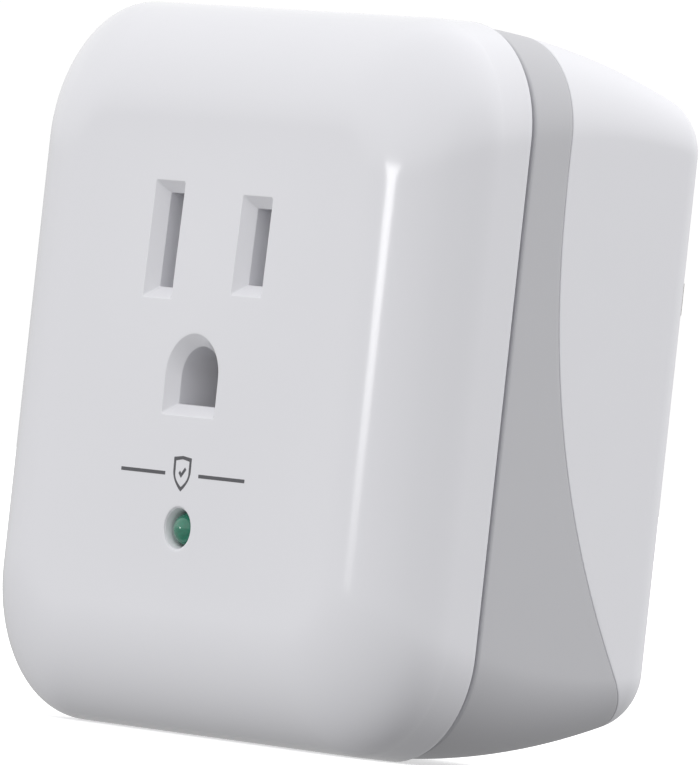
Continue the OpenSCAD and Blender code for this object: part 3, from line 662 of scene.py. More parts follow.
def build_housing():
    """The rear housing: lip, recess under the band, tapered sides and the flat back."""
    casing = bpy.context.scene.plug_casing
    prongs = bpy.context.scene.plug_prongs
    soft, edge, wall = casing.soft_edge, casing.back_edge, casing.housing_wall
    skin = Skin()
    joint = joint_ring_y() + casing.joint_gap
    flat = 0 * joint
    lip_inset = casing.cover_wall + LIP_GAP - casing.rim_step
    recess = casing.band_wall + FIT_GAP
    lip_front = seam_y() - LIP_L
    step_y = seam_y() + BAND_STEP

    # inner skin forward to the lip, back over the recess under the band, then the outside
    loops = [body_ring(y + flat, wall) for y in np.linspace(-BACK_WALL, lip_front + soft, 12)]
    loops += [body_ring(y + flat, inset) for y, inset in (
        (lip_front, wall - soft), (lip_front, lip_inset + soft), (lip_front + soft, lip_inset),
        (step_y, lip_inset), (step_y, recess))]
    loops += [body_ring(step_y + (joint - step_y) * share, recess)
              for share in (0.25, 0.5, 0.75, 1)]
    loops += [body_ring(joint + gap, inset) for gap, inset in rounding(soft)[::-1]]
    start = joint + soft
    loops += [body_ring(start + (-edge - start) * share) for share in np.linspace(0, 1, 15)[1:]]
    loops += [body_ring(flat - gap, inset) for gap, inset in rounding(edge, 10)[1:]]
    loops.append(body_ring(flat, edge + 0.1 * MM))
    made = skin.chain(loops)
    inner_edge, back_edge = made[0], made[-1]

    outside, within = [], []

    def through(outline, brim=BRIM):
        """A hole through the back wall with a rounded edge; outline(grow, y) gives its points."""
        hole = [outline(brim * soft, 0)]
        hole += [outline(grow, -gap) for grow, gap in rounding(soft)]
        hole.append(outline(0, -BACK_WALL))
        loops = skin.chain(hole)
        outside.append(loops[0])
        within.append(loops[-1])

    foot = -BACK_WALL + 0.01 * MM
    end = POST_JOINT_Y + FIT_GAP
    for x, z in SCREW_PLACES:
        through(lambda grow, y, x=x, z=z: circle(x, z, COUNTERBORE_R + grow, y), 1.5)
        post = skin.chain([circle(x, z, r, y) for r, y in (
            (COUNTERBORE_R, foot), (COUNTERBORE_R, COUNTERBORE_Y),
            (HOUSING_BORE_R, COUNTERBORE_Y), (HOUSING_BORE_R, end),
            (HOUSING_POST_R - soft, end), (HOUSING_POST_R, end + soft),
            (HOUSING_POST_R, foot))])
        skin.wall(post[-1], post[0])
    for x, z, r, end in STANDING_POSTS:
        post = skin.chain([circle(x, z, r - soft, end, 32), circle(x, z, r, end + soft, 32),
                           circle(x, z, r, -BACK_WALL + 0.5 * MM, 32)])
        skin.plate(post[0], [], "front")
        skin.plate(post[-1], [], "back")
    for x, width in ((HOT_X, HOT_WIDTH), (NEUTRAL_X, NEUTRAL_WIDTH)):
        through(lambda grow, y, x=x, width=width: small_outline(
            x, 0, prongs.blade_t / 2 + FIT_GAP + grow, width / 2 + FIT_GAP + grow,
            SLOT_CORNER + grow / 2, y))
    through(lambda grow, y: circle(0, GROUND_Z, COLLAR_HOLE_R + grow, y))

    skin.plate(back_edge, outside, "back")
    skin.plate(inner_edge, within, "front")
    return skin.piece("rear_housing_shell", housing_plastic())


# Prongs


NEUTRAL_WIDTH = 7.9 * MM
HOT_WIDTH = 6.35 * MM
SHANK_END = 3.2 * MM
COINED_L = 1.3 * MM
FLANGE_BACK_Y = -2.55 * MM
FLANGE_FRONT_Y = -3.5 * MM
TAB_HALF_H = 2 * MM
COLLAR_PIN_R = 2.6 * MM
FLANGE_R = 3.6 * MM
STUB_R = 1.5 * MM
TURNED_EDGE = 0.15 * MM


def blade_mesh(x, width, tip_y):
    """Builds the blade flat, with the hole near its tip."""
    s = bpy.context.scene.plug_prongs
    half_t, half = s.blade_t / 2, width / 2
    shoulder, coined_y = tip_y - s.tip_l, tip_y - COINED_L
    share = (coined_y - shoulder) / (tip_y - shoulder)
    side = [(FLANGE_FRONT_Y, half), (tip_y - SHANK_END, half), (shoulder, half),
            (coined_y, half + (s.tip_w / 2 - half) * share), (tip_y, s.tip_w / 2)]
    border = [(y, -z) for y, z in side] + side[::-1]
    hole = [(s.hole_y + s.hole_r * math.cos(t), s.hole_r * math.sin(t))
            for t in np.arange(40) * 2 * math.pi / 40]
    n, m = len(border), len(hole)
    edges = [(i, (i + 1) % n) for i in range(n)] + [(n + i, n + (i + 1) % m) for i in range(m)]
    edges.append((len(side) - 2, len(side) + 1))
    made = delaunay_2d_cdt([Vector(p) for p in border + hole], edges, [], 0, 1e-9)
    verts, triangles, origins = made[0], made[2], made[3]

    def depth(y):
        return half_t - s.coined * max((y - coined_y) / (tip_y - coined_y), 0)

    work = bmesh.new()
    sides = {}
    for way in (-1, 1):
        sides[way] = [work.verts.new((x + way * depth(p[0]), p[0], p[1])) for p in verts]
    for t in triangles:
        middle = np.mean([verts[v] for v in t], axis=0)
        if inside(np.array(hole), middle[None])[0]:
            continue
        work.faces.new([sides[1][v] for v in t])
        work.faces.new([sides[-1][v] for v in reversed(t)])
    found = {origin[0]: i for i, origin in enumerate(origins) if origin}
    for start, count, way in ((0, n, 1), (n, m, -1)):
        for i in range(count):
            a, b = found[start + i], found[start + (i + 1) % count]
            work.faces.new([sides[1][a], sides[-1][a], sides[-1][b], sides[1][b]][::way])
    bmesh.ops.recalc_face_normals(work, faces=work.faces)
    return work


def add_box(work, low, high):
    """Adds a box to a mesh being built."""
    size = Vector(high) - Vector(low)
    made = bmesh.ops.create_cube(work, size=1)["verts"]
    place = Matrix.Translation((Vector(low) + Vector(high)) / 2) @ Matrix.Diagonal((*size, 1))
    bmesh.ops.transform(work, matrix=place, verts=made)


def build_prong_blade(name, node, x, width):
    """A stamped blade with its flange and the tab that reaches the board."""
    low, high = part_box(node)
    s = bpy.context.scene.plug_prongs
    half_t = s.blade_t / 2
    work = blade_mesh(x, width, high.y)
    add_box(work, (low.x, FLANGE_FRONT_Y, low.z), (high.x, FLANGE_BACK_Y, high.z))
    add_box(work, (x - half_t, low.y, -TAB_HALF_H), (x + half_t, FLANGE_FRONT_Y, TAB_HALF_H))
    made = finish_piece(mesh_from(name, work), name, prong_metal(), sharp=35)
    round_edges(made, s.soft_edge, 3)
    stand_for(made, node)


def round_edges(piece, width, segments):
    """Rounds a piece's hard edges, before its normals are evened out."""
    bevel = piece.modifiers.new("round_edges", "BEVEL")
    bevel.width = width
    bevel.segments = segments
    bevel.limit_method = "ANGLE"
    bevel.angle_limit = math.radians(28)
    bevel.harden_normals = False
    piece.modifiers.move(len(piece.modifiers) - 1, 0)


def build_pin():
    """The turned ground pin: stub, flange, collar and round-nosed shaft."""
    r, tip_y = bpy.context.scene.plug_prongs.pin_r, PIN_HIGH.y
    soft = TURNED_EDGE
    profile = [(0, PIN_LOW.y), (STUB_R - soft, PIN_LOW.y), (STUB_R, PIN_LOW.y + soft),
               (STUB_R, FLANGE_FRONT_Y), (FLANGE_R - soft, FLANGE_FRONT_Y),
               (FLANGE_R, FLANGE_FRONT_Y + soft), (FLANGE_R, FLANGE_BACK_Y - soft),
               (FLANGE_R - soft, FLANGE_BACK_Y), (COLLAR_PIN_R, FLANGE_BACK_Y),
               (COLLAR_PIN_R, -soft), (COLLAR_PIN_R - soft, 0), (r, 0)]
    profile += [(r, y) for y in np.linspace(0, tip_y - r, 8)[1:]]
    profile += [(r * math.cos(t), tip_y - r + r * math.sin(t)) for t in quarter(16)[1:]]
    stand_for(lathe("ground_pin_turned", profile, GROUND_Z, prong_metal(), 64), "ground_pin")


# Lamp and mark


LENS_R = 1.5 * MM
LENS_FLANGE_L = 1 * MM
LENS_EDGE = 0.1 * MM
INK_DEPTH = 0.012 * MM
LINE_INNER_X = 2.4 * MM
LINE_HALF_H = 0.16 * MM
# The tick in the shield, in shares of the shield's height
TICK = [(-0.03, -0.1), (0.2, 0.15), (0.13, 0.22), (-0.03, 0.04), (-0.09, 0.11), (-0.16, 0.04)]


def build_lens():
    """The lamp's round lens with the flange behind it."""
    flange_r = (LAMP_HIGH.x - LAMP_LOW.x) / 2
    tip, back = LAMP_LOW.y, LAMP_HIGH.y
    flange_y, soft = back - LENS_FLANGE_L, LENS_EDGE
    profile = [(LENS_R * math.sin(t), tip + LENS_R * (1 - math.cos(t))) for t in quarter(19)]
    profile += [(LENS_R, flange_y), (flange_r - soft, flange_y), (flange_r, flange_y + soft),
                (flange_r, back - soft), (flange_r - soft, back), (0, back)]
    stand_for(lathe("indicator_lens", profile, LAMP_Z, lens_epoxy(), 72), "indicator_led")


def shield_points(size, inset=0.0):
    """Outline of a plain shield about its middle: level top, round sides, pointed foot."""
    half_w, top = 0.42 * size - inset, 0.5 * size - inset
    foot = -0.5 * size + inset * 1.35
    points = [(-half_w, top), (0, top + 0.05 * size), (half_w, top)]
    for t in np.arange(1, 13) / 12:
        points.append((half_w * (1 - t ** 2.2), (top - 0.34 * size) * (1 - t) + foot * t))
    points += [(-x, z) for x, z in points[-2:2:-1]]
    return points[::-1]


def build_mark():
    """A plain shield between two fine lines, printed on the face."""
    s = bpy.context.scene.plug_lamp
    middle_z = LAMP_Z + s.mark_rise
    skin = Skin()

    def printed(*shapes):
        """A thin layer inside the first shape and outside the others."""
        loops = []
        for shape in shapes:
            places = [(x, middle_z + z) for x, z in shape]
            low, high = (skin.loop([(x, crown_depth(x, z) + rise, z) for x, z in places])
                         for rise in (0.5 * INK_DEPTH, -INK_DEPTH))
            skin.wall(*((low, high) if loops else (high, low)))
            loops.append((low, high))
        skin.plate(loops[0][1], [high for _, high in loops[1:]], "front")
        skin.plate(loops[0][0], [low for low, _ in loops[1:]], "back")

    size = s.mark_h
    printed(shield_points(size), shield_points(size, 0.1 * size))
    printed([(x * size, z * size) for x, z in TICK])
    for side in (-1, 1):
        xs = np.linspace(*sorted((side * LINE_INNER_X, side * s.mark_w / 2)), 13)
        printed([(x, LINE_HALF_H) for x in xs[::-1]] + [(x, -LINE_HALF_H) for x in xs])
    return skin.piece("status_mark", mark_ink(), sharp=30)


# Shader maths


class Value:
    """A shader socket that takes part in Python arithmetic by adding Math nodes."""

    def __init__(self, tree, socket):
        self.tree = tree
        self.socket = socket

    def math(self, operation, *others, before=False):
        sides = [*others, self] if before else [self, *others]
        return add_node(self.tree, "ShaderNodeMath", {"operation": operation},
                        dict(enumerate(sides)))

    def __add__(self, other):
        return self.math("ADD", other)

    __radd__ = __add__

    def __mul__(self, other):
        return self.math("MULTIPLY", other)

    __rmul__ = __mul__

    def __sub__(self, other):
        return self.math("SUBTRACT", other)

    def __rsub__(self, other):
        return self.math("SUBTRACT", other, before=True)

    def __truediv__(self, other):
        return self.math("DIVIDE", other)

    def __rtruediv__(self, other):
        return self.math("DIVIDE", other, before=True)


def add_node(tree, kind, settings=None, inputs=None, output=0):
    """Adds a node, sets it, then fills its sockets with values or links; returns one output."""
    node = tree.nodes.new(kind)
    for name, value in (settings or {}).items():
        if name == "stops":
            ramp = node.color_ramp
            for i, (place, shade) in enumerate(value):
                stop = ramp.elements[i] if i < len(ramp.elements) else ramp.elements.new(place)
                stop.position = place
                stop.color = (*shade, 1) if isinstance(shade, tuple) else (shade,) * 3 + (1,)
        else:
            setattr(node, name, value)
    for name, value in (inputs or {}).items():
        socket = node.inputs[name]
        if isinstance(value, Value):
            tree.links.new(value.socket, socket)
        elif isinstance(value, tuple) and len(value) == 3 and socket.type == "RGBA":
            socket.default_value = (*value, 1)
        else:
            socket.default_value = value
    return Value(tree, node.outputs[output])


class Finish:
    """A material with one Principled shader, and the textures that its finishes share."""

    def __init__(self, name):
        self.material = bpy.data.materials.new(name)
        self.material.use_nodes = True
        self.tree = self.material.node_tree
        self.shader = self.tree.nodes["Principled BSDF"]
        self.place = add_node(self.tree, "ShaderNodeTexCoord", output="Object")

    def add(self, kind, settings=None, inputs=None, output=0):
        return add_node(self.tree, kind, settings, inputs, output)

    def noise(self, size, detail=3.0, roughness=0.5, stretch=(1, 1, 1)):
        """Cloudy noise whose blotches are about size metres across, from 0 to 1."""
        vector = self.place
        if stretch != (1, 1, 1):
            vector = self.add("ShaderNodeMapping", {}, {"Vector": self.place, "Scale": stretch})
        return self.add("ShaderNodeTexNoise", {}, {
            "Vector": vector, "Scale": 1 / size, "Detail": detail, "Roughness": roughness})

    def blend(self, share, low, high):
        """A colour between two, by share."""
        return self.add("ShaderNodeMix", {"data_type": "RGBA"}, {0: share, 6: low, 7: high}, 2)

    def bump(self, height, depth):
        """A bump from a height of 0 to 1 that stands for depth metres."""
        return self.add("ShaderNodeBump", {}, {"Height": height, "Strength": 1.0,
                                               "Distance": depth})

    def set(self, **values):
        """Sets or links the shader's sockets; Base_Color stands for Base Color."""
        for name, value in values.items():
            socket = self.shader.inputs[name.replace("_", " ")]
            if isinstance(value, Value):
                self.tree.links.new(value.socket, socket)
            elif socket.type == "RGBA":
                socket.default_value = (*value, 1)
            else:
                socket.default_value = value
        return self.material


def scaled(shade, share):
    """A colour made lighter or darker."""
    return tuple(min(c * share, 1.0) for c in shade)


def material_named(name, make):
    """The material if it is there already, or a new one from make."""
    found = bpy.data.materials.get(name)
    return found if found is not None else make(name)


# Sizes of the cloudiness in plastic and of the tarnish on metal, how far the gloss of
# plastic strays, and the lines drawn on metal
CLOUD_SIZE = 6 * MM
FLOW_SIZE = 14 * MM
TARNISH_SIZE = 3 * MM
GLOSS_SPREAD = 0.05
DRAWN_LINES = 0.4 * MM
DRAWN_DEPTH = 0.0006 * MM


def moulded(name, shade, roughness, grain, grain_depth, mottle=0.02, subsurface=0.0):
    """Moulded plastic: faint cloudiness in its colour and gloss, and a fine grain."""
    def make(name):
        f = Finish(name)
        cloud = f.noise(CLOUD_SIZE, 4)
        fine = f.noise(grain, 2)
        flow = f.noise(FLOW_SIZE, 2, stretch=(1, 1, 0.4))
        shades = f.blend(cloud, scaled(shade, 1 - mottle), scaled(shade, 1 + mottle))
        gloss = roughness * (1 - GLOSS_SPREAD) + flow * (2 * GLOSS_SPREAD * roughness)
        return f.set(Base_Color=shades, Roughness=gloss, Normal=f.bump(fine, grain_depth),
                     Subsurface_Weight=subsurface, Subsurface_Scale=0.6 * MM)
    return material_named(name, make)


def metal(name, shade, roughness, brush=(1, 1, 1)):
    """Rolled or plated metal with fine drawn lines and slight tarnish."""
    def make(name):
        f = Finish(name)
        lines = f.noise(DRAWN_LINES, 5, 0.7, stretch=brush)
        tarnish = f.noise(TARNISH_SIZE, 4)
        shades = f.blend(tarnish, scaled(shade, 0.9), scaled(shade, 1.05))
        gloss = roughness * 0.8 + lines * (0.4 * roughness) + tarnish * (0.1 * roughness)
        return f.set(Base_Color=shades, Metallic=1.0, Roughness=gloss,
                     Normal=f.bump(lines, DRAWN_DEPTH))
    return material_named(name, make)


def cover_plastic():
    s = bpy.context.scene.plug_casing
    return moulded("polished_white", tuple(s.cover_colour), s.cover_roughness, 0.35 * MM,
                   0.0004 * MM, mottle=0.006)


def band_plastic():
    s = bpy.context.scene.plug_casing
    return moulded("satin_grey", tuple(s.band_colour), s.band_roughness, 0.16 * MM,
                   0.004 * MM, mottle=0.012)


def housing_plastic():
    s = bpy.context.scene.plug_casing
    return moulded("satin_white", tuple(s.housing_colour), s.housing_roughness, 0.2 * MM,
                   0.0025 * MM, mottle=0.008)


def prong_metal():
    s = bpy.context.scene.plug_prongs
    return metal("nickel_plate", tuple(s.metal), 0.26, brush=(1, 0.15, 1))


def lens_epoxy():
    def make(name):
        f = Finish(name)
        s = bpy.context.scene.plug_lamp
        cloud = f.noise(0.5 * MM, 3)
        shades = f.blend(cloud, scaled(s.lens, 0.55), scaled(s.lens, 1.6))
        return f.set(Base_Color=shades, Roughness=0.06 + cloud * 0.05, IOR=1.54,
                     Coat_Weight=0.6, Coat_Roughness=0.03)
    return material_named("green_epoxy", make)


def mark_ink():
    def make(name):
        f = Finish(name)
        s = bpy.context.scene.plug_lamp
        cloud = f.noise(0.3 * MM, 4)
        shades = f.blend(cloud, scaled(s.ink, 0.8), scaled(s.ink, 1.25))
        return f.set(Base_Color=shades, Roughness=0.4 + cloud * 0.2)
    return material_named("grey_ink", make)


def board_laminate():
    def make(name):
        f = Finish(name)
        weave = f.noise(0.5 * MM, 2, stretch=(1, 1, 6)) * f.noise(0.5 * MM, 2, stretch=(6, 1, 1))
        shades = f.blend(weave, (0.012, 0.085, 0.035), (0.03, 0.19, 0.08))
        return f.set(Base_Color=shades, Roughness=0.32 + weave * 0.2,
                     Normal=f.bump(weave, 0.01 * MM))
    return material_named("green_laminate", make)


# The resistors' colour bands: start along the body, as a share of its length, and colour
RESISTOR_FOOT_Z = -20.4 * MM
RESISTOR_L = 6.8 * MM
RESISTOR_TAN = (0.50, 0.36, 0.20)
RESISTOR_BAND_L = 0.06
RESISTOR_BANDS = [(0.24, (0.30, 0.03, 0.02)), (0.42, (0.02, 0.02, 0.02)),
                  (0.60, (0.55, 0.22, 0.02)), (0.80, (0.60, 0.42, 0.10))]


def banded_lacquer():
    """Tan lacquer with colour bands along Z round the middle of each resistor."""
    def make(name):
        f = Finish(name)
        z = f.add("ShaderNodeSeparateXYZ", {}, {"Vector": f.place}, "Z")
        stops = [(0.0, RESISTOR_TAN)]
        for start, shade in RESISTOR_BANDS:
            stops += [(start, shade), (start + RESISTOR_BAND_L, RESISTOR_TAN)]
        bands = f.add("ShaderNodeValToRGB", {"stops": stops},
                      {"Fac": (z - RESISTOR_FOOT_Z) / RESISTOR_L})
        cloud = f.noise(0.8 * MM, 3)
        return f.set(Base_Color=bands, Roughness=0.25 + cloud * 0.15,
                     Normal=f.bump(cloud, 0.02 * MM))
    return material_named("banded_lacquer", make)


def carried_finishes():
    """Finish of every CAD node that stays, by material slot."""
    return {
        "contact_brass": metal("rolled_brass", (0.72, 0.50, 0.20), 0.3, brush=(1, 0.2, 1)),
        "carrier_plastic": moulded("dark_carrier", (0.045, 0.045, 0.05), 0.5, 0.2 * MM,
                                   0.006 * MM, mottle=0.15),
        "carrier_lid_plastic": moulded("dark_lid", (0.07, 0.07, 0.075), 0.5, 0.2 * MM,
                                       0.006 * MM, mottle=0.15),
        "clamp_plastic": moulded("black_phenolic", (0.02, 0.018, 0.018), 0.4, 0.3 * MM,
                                 0.004 * MM, mottle=0.2),
        "sheet_fibre": moulded("fibre_sheet", (0.40, 0.31, 0.18), 0.75, 0.12 * MM, 0.02 * MM,
                               mottle=0.12),
        "board_laminate": board_laminate(),
        "screw_steel": metal("zinc_steel", (0.58, 0.59, 0.62), 0.34),
        "shutter_plastic": moulded("slide_grey", (0.3, 0.3, 0.31), 0.45, 0.25 * MM,
                                   0.004 * MM),
        "spring_steel": metal("spring_wire", (0.60, 0.61, 0.63), 0.28, brush=(0.3, 1, 1)),
        "varistor_lacquer": moulded("blue_lacquer", (0.012, 0.045, 0.26), 0.3, 0.9 * MM,
                                    0.05 * MM, mottle=0.1),
        "fuse_metal": metal("fuse_case", (0.70, 0.70, 0.69), 0.3, brush=(1, 0.2, 1)),
        "sleeve_rubber": moulded("shrink_sleeve", (0.012, 0.012, 0.013), 0.55, 0.5 * MM,
                                 0.02 * MM, mottle=0.2),
        "fuse_cap": moulded("red_cap", (0.10, 0.012, 0.01), 0.3, 0.4 * MM, 0.005 * MM,
                            mottle=0.1),
        "capacitor_box": moulded("yellow_box", (0.62, 0.37, 0.03), 0.4, 0.3 * MM, 0.008 * MM,
                                 mottle=0.06),
        "resistor_body": banded_lacquer(),
        "diode_body": moulded("black_epoxy", (0.012, 0.012, 0.013), 0.5, 0.2 * MM, 0.01 * MM,
                              mottle=0.2),
        "lead_tin": metal("tinned_wire", (0.66, 0.66, 0.66), 0.35, brush=(1, 0.3, 1)),
        "spacer_nylon": moulded("nylon_spacer", (0.70, 0.70, 0.66), 0.45, 0.3 * MM,
                                0.003 * MM, subsurface=0.1),
    }


# Stage


# Brightness of the sky by the sine of its height, from straight down, 0, to straight up, 1
SKY_STOPS = [(0.0, 0.1), (0.1, 0.3), (0.3, 0.46), (0.46, 0.48), (0.505, 0.53), (0.54, 0.76),
             (0.6, 0.89), (0.72, 0.84), (1.0, 0.74)]

# Directions from which less light comes: turn and height in degrees, the cosines between
# which it fades in, and by how much
DIM_SIDES = [(72, 0, 0.62, 0.9, 0.22), (105, -42, 0.45, 0.9, 0.65), (-110, 5, 0.5, 0.9, 0.25)]


# Where the lamps stand: turn and height angle in degrees, and distance
STRIP_TURN, STRIP_AWAY = -21, 1.2
SIDE_TURN, SIDE_HEIGHT, SIDE_AWAY, SIDE_SIZE = 130, 24, 1.5, (1.0, 0.9)
BODY_MIDDLE_Y = -20 * MM
# The point that the camera looks at, and how far it is moved to the right and up
AIM_Y, AIM_RIGHT, AIM_UP = -15.53 * MM, 0.2 * MM, 0.17 * MM


def direction(a, e=0.0):
    """Unit vector at a turn from the front and a height angle."""
    return Vector((math.sin(a) * math.cos(e), -math.cos(a) * math.cos(e), math.sin(e)))


def sky_light(strength):
    """Soft light from all around: bright above, dim below, with a few dimmer sides."""
    world = bpy.data.worlds.new("studio_sky")
    bpy.context.scene.world = world
    world.use_nodes = True
    tree = world.node_tree
    tree.nodes.clear()
    way = add_node(tree, "ShaderNodeTexCoord", output="Generated")
    height = add_node(tree, "ShaderNodeSeparateXYZ", {}, {"Vector": way}, "Z")
    shade = add_node(tree, "ShaderNodeValToRGB", {"stops": SKY_STOPS},
                     {"Fac": height * 0.5 + 0.5})
    dim = 1.0
    for turn, tilt, start, end, depth in DIM_SIDES:
        nearness = add_node(tree, "ShaderNodeVectorMath", {"operation": "DOT_PRODUCT"},
                            {0: way, 1: direction(math.radians(turn), math.radians(tilt))},
                            "Value")
        dim = dim * add_node(tree, "ShaderNodeMapRange", {"interpolation_type": "SMOOTHSTEP"}, {
            "Value": nearness, "From Min": start, "From Max": end, "To Min": 1.0,
            "To Max": 1 - depth})
    glow = add_node(tree, "ShaderNodeBackground", {}, {"Color": shade,
                                                       "Strength": dim * strength})
    out = tree.nodes.new("ShaderNodeOutputWorld")
    tree.links.new(glow.socket, out.inputs["Surface"])


def build_camera():
    """The camera, held so that its roll turns the picture about the line of sight."""
    s = bpy.context.scene.plug_stage
    back = direction(s.azimuth, s.elevation)
    right = Vector((math.cos(s.azimuth), math.sin(s.azimuth), 0))
    up = back.cross(right)
    target = Vector((0, AIM_Y, MID_Z)) + right * AIM_RIGHT + up * AIM_UP
    level = Matrix((right, up, back)).transposed()
    data = bpy.data.cameras.new("camera")
    data.lens = s.lens
    data.sensor_width = 36
    data.clip_start = 0.05
    data.clip_end = 60
    camera = place_object("camera", data)
    camera.rotation_mode = "QUATERNION"
    camera.rotation_quaternion = (level @ Matrix.Rotation(s.roll, 3, "Z")).to_quaternion()
    camera.location = target + back * s.distance
    bpy.context.scene.camera = camera


def build_floor():
    """A pale floor under the object, left out of its reflections."""
    s = bpy.context.scene.plug_stage
    work = bmesh.new()
    bmesh.ops.create_grid(work, x_segments=8, y_segments=8, size=25)
    floor = place_object("floor", mesh_from("floor", work))
    floor.location.z = CAD_BOX[0].z
    f = Finish("pale_floor")
    shade = f.blend(f.noise(0.3, 2), scaled(s.floor, 0.99), tuple(s.floor))
    f.set(Base_Color=shade, Roughness=0.9, Emission_Color=shade, Emission_Strength=0.5)
    floor.data.materials.append(f.material)
    floor.visible_diffuse = False
    floor.visible_glossy = False


def build_backdrop():
    """A plain white dome that only the camera sees."""
    work = bmesh.new()
    bmesh.ops.create_icosphere(work, subdivisions=4, radius=30)
    bmesh.ops.reverse_faces(work, faces=work.faces)
    dome = place_object("backdrop", mesh_from("backdrop", work))
    f = Finish("plain_white")
    f.set(Base_Color=(0, 0, 0), Roughness=1.0, Emission_Strength=1.0,
          Emission_Color=f.blend(f.noise(8, 1), (1, 1, 1), (1.02, 1.02, 1.02)))
    dome.data.materials.append(f.material)
    for ray in ("diffuse", "glossy", "transmission", "volume_scatter", "shadow"):
        setattr(dome, "visible_" + ray, False)


# The narrow light's height, half width and brightness, from its foot to its top
STRIP_ROWS = [(-0.065, 0.07, 0.0), (-0.05, 0.07, 0.14), (-0.03, 0.07, 0.22), (-0.015, 0.07, 0.45),
              (0.005, 0.07, 0.85), (0.03, 0.07, 1.0), (0.06, 0.1, 1.0), (0.11, 0.15, 1.0)]


def build_strip():
    """A tall narrow light in front, whose reflection runs down the cover's shoulder."""
    s = bpy.context.scene.plug_stage
    low, high = STRIP_ROWS[0][0], STRIP_ROWS[-1][0]
    mesh = bpy.data.meshes.new("strip")
    points = [(side * half_w, 0, z) for z, half_w, _ in STRIP_ROWS for side in (-1, 1)]
    faces = [(2 * i, 2 * i + 1, 2 * i + 3, 2 * i + 2) for i in range(len(STRIP_ROWS) - 1)]
    mesh.from_pydata(points, [], faces)
    strip = place_object("strip", mesh)
    turn = math.radians(STRIP_TURN)
    strip.location = Vector((0, BODY_MIDDLE_Y, 0)) + direction(turn) * STRIP_AWAY
    strip.rotation_euler.z = turn
    f = Finish("strip_glow")
    z = f.add("ShaderNodeSeparateXYZ", {}, {"Vector": f.place}, "Z")
    glow = f.add("ShaderNodeValToRGB", {"stops": [
        ((row[0] - low) / (high - low), row[2]) for row in STRIP_ROWS]},
        {"Fac": (z - low) / (high - low)})
    f.set(Base_Color=(0, 0, 0), Roughness=1.0, Emission_Color=glow, Emission_Strength=s.strip)
    mesh.materials.append(f.material)
    strip.visible_camera = False


def build_side_light():
    """A large soft lamp on the right, towards the back, unseen and without a reflection."""
    data = bpy.data.lights.new("side_box", "AREA")
    data.shape = "RECTANGLE"
    data.size, data.size_y = SIDE_SIZE
    data.energy = bpy.context.scene.plug_stage.side
    lamp = place_object("side_box", data)
    way = direction(math.radians(SIDE_TURN), math.radians(SIDE_HEIGHT))
    lamp.location = Vector((0, BODY_MIDDLE_Y, MID_Z)) + way * SIDE_AWAY
    lamp.rotation_mode = "QUATERNION"
    lamp.rotation_quaternion = (-way).to_track_quat("-Z", "Y")
    lamp.visible_camera = False
    lamp.visible_glossy = False


# Operators


class PLUG_OT_front_cover(Operator):
    """Builds the polished front cover with the outlet's openings"""

    bl_idname = "plug.front_cover"
    bl_label = "Front Cover"

    def execute(self, context):
        stand_for(build_cover(), "front_cover")
        return {"FINISHED"}


class PLUG_OT_accent_band(Operator):
    """Builds the grey band between cover and housing"""

    bl_idname = "plug.accent_band"
    bl_label = "Accent Band"

    def execute(self, context):
        stand_for(build_band(), "accent_band")
        return {"FINISHED"}


class PLUG_OT_rear_housing(Operator):
    """Builds the white rear housing with its flat back"""

    bl_idname = "plug.rear_housing"
    bl_label = "Rear Housing"

    def execute(self, context):
        stand_for(build_housing(), "rear_housing")
        return {"FINISHED"}


class PLUG_OT_prongs(Operator):
    """Builds the two blades and the ground pin"""

    bl_idname = "plug.prongs"
    bl_label = "Prongs"

    def execute(self, context):
        build_prong_blade("hot_blade_stamped", "hot_blade", HOT_X, HOT_WIDTH)
        build_prong_blade("neutral_blade_stamped", "neutral_blade", NEUTRAL_X, NEUTRAL_WIDTH)
        build_pin()
        return {"FINISHED"}


class PLUG_OT_lamp(Operator):
    """Builds the indicator's lens and the printed mark above it"""

    bl_idname = "plug.lamp"
    bl_label = "Lamp and Mark"

    def execute(self, context):
        build_lens()
        build_mark()
        return {"FINISHED"}


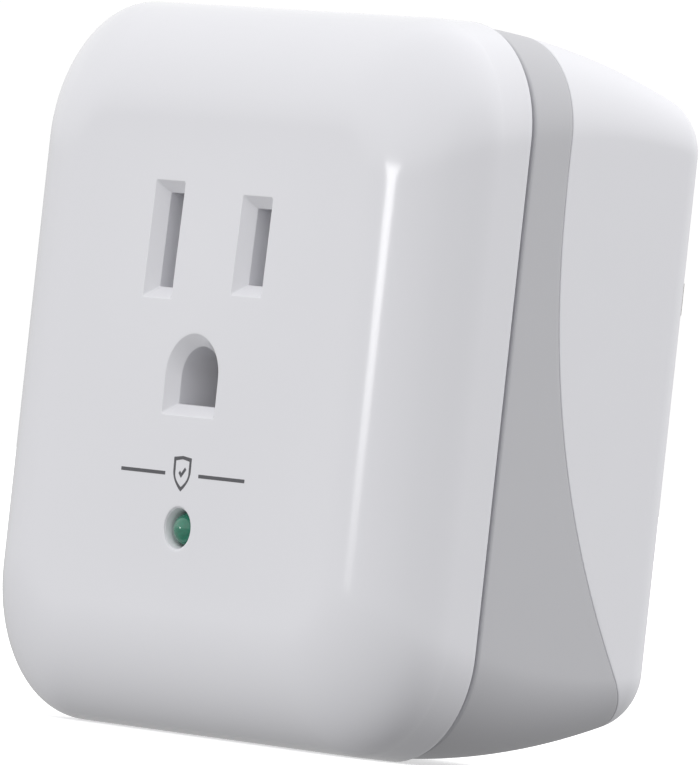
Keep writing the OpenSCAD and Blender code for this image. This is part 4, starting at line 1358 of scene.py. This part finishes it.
class PLUG_OT_inner_finishes(Operator):
    """Gives every inner part that stays from the frame its own finish"""

    bl_idname = "plug.inner_finishes"
    bl_label = "Inner Finishes"

    def execute(self, context):
        finishes = carried_finishes()
        for node, part in frame["nodes"].items():
            made = finishes.get(SLOT_OF[node])
            if made is None or part.hide_render:
                continue
            part.data.materials.clear()
            part.data.materials.append(made)
        return {"FINISHED"}


class PLUG_OT_stage(Operator):
    """Sets up the camera, the floor and the studio light"""

    bl_idname = "plug.stage"
    bl_label = "Stage"

    def execute(self, context):
        build_camera()
        build_floor()
        build_backdrop()
        build_strip()
        build_side_light()
        sky_light(context.scene.plug_stage.sky)
        context.scene.view_settings.view_transform = "Standard"
        return {"FINISHED"}


class PLUG_PT_sidebar(Panel):
    """Lists the builders and their settings"""

    bl_label = "Surge Protector Plug"
    bl_space_type = "VIEW_3D"
    bl_region_type = "UI"
    bl_category = "Surge Plug"

    def draw(self, context):
        for operator in OPERATORS:
            self.layout.operator(operator.bl_idname)
        for name, group in SETTINGS.items():
            box = self.layout.box()
            box.label(text=group.__doc__)
            for field in group.__annotations__:
                box.prop(getattr(context.scene, name), field)


SETTINGS = {
    "plug_casing": CasingSettings,
    "plug_outlet": OutletSettings,
    "plug_prongs": ProngSettings,
    "plug_lamp": LampSettings,
    "plug_stage": StageSettings,
}
OPERATORS = [PLUG_OT_stage, PLUG_OT_front_cover, PLUG_OT_accent_band, PLUG_OT_rear_housing,
             PLUG_OT_prongs, PLUG_OT_lamp, PLUG_OT_inner_finishes]


def register():
    for one in [*SETTINGS.values(), *OPERATORS, PLUG_PT_sidebar]:
        bpy.utils.register_class(one)
    for name, group in SETTINGS.items():
        setattr(bpy.types.Scene, name, PointerProperty(type=group))


def unregister():
    for name in SETTINGS:
        delattr(bpy.types.Scene, name)
    for one in reversed([*SETTINGS.values(), *OPERATORS, PLUG_PT_sidebar]):
        bpy.utils.unregister_class(one)


def main():
    """Builds everything."""
    register()
    bpy.ops.plug.stage()
    bpy.ops.plug.front_cover()
    bpy.ops.plug.accent_band()
    bpy.ops.plug.rear_housing()
    bpy.ops.plug.prongs()
    bpy.ops.plug.lamp()
    bpy.ops.plug.inner_finishes()


if __name__ == "__main__":
    main()
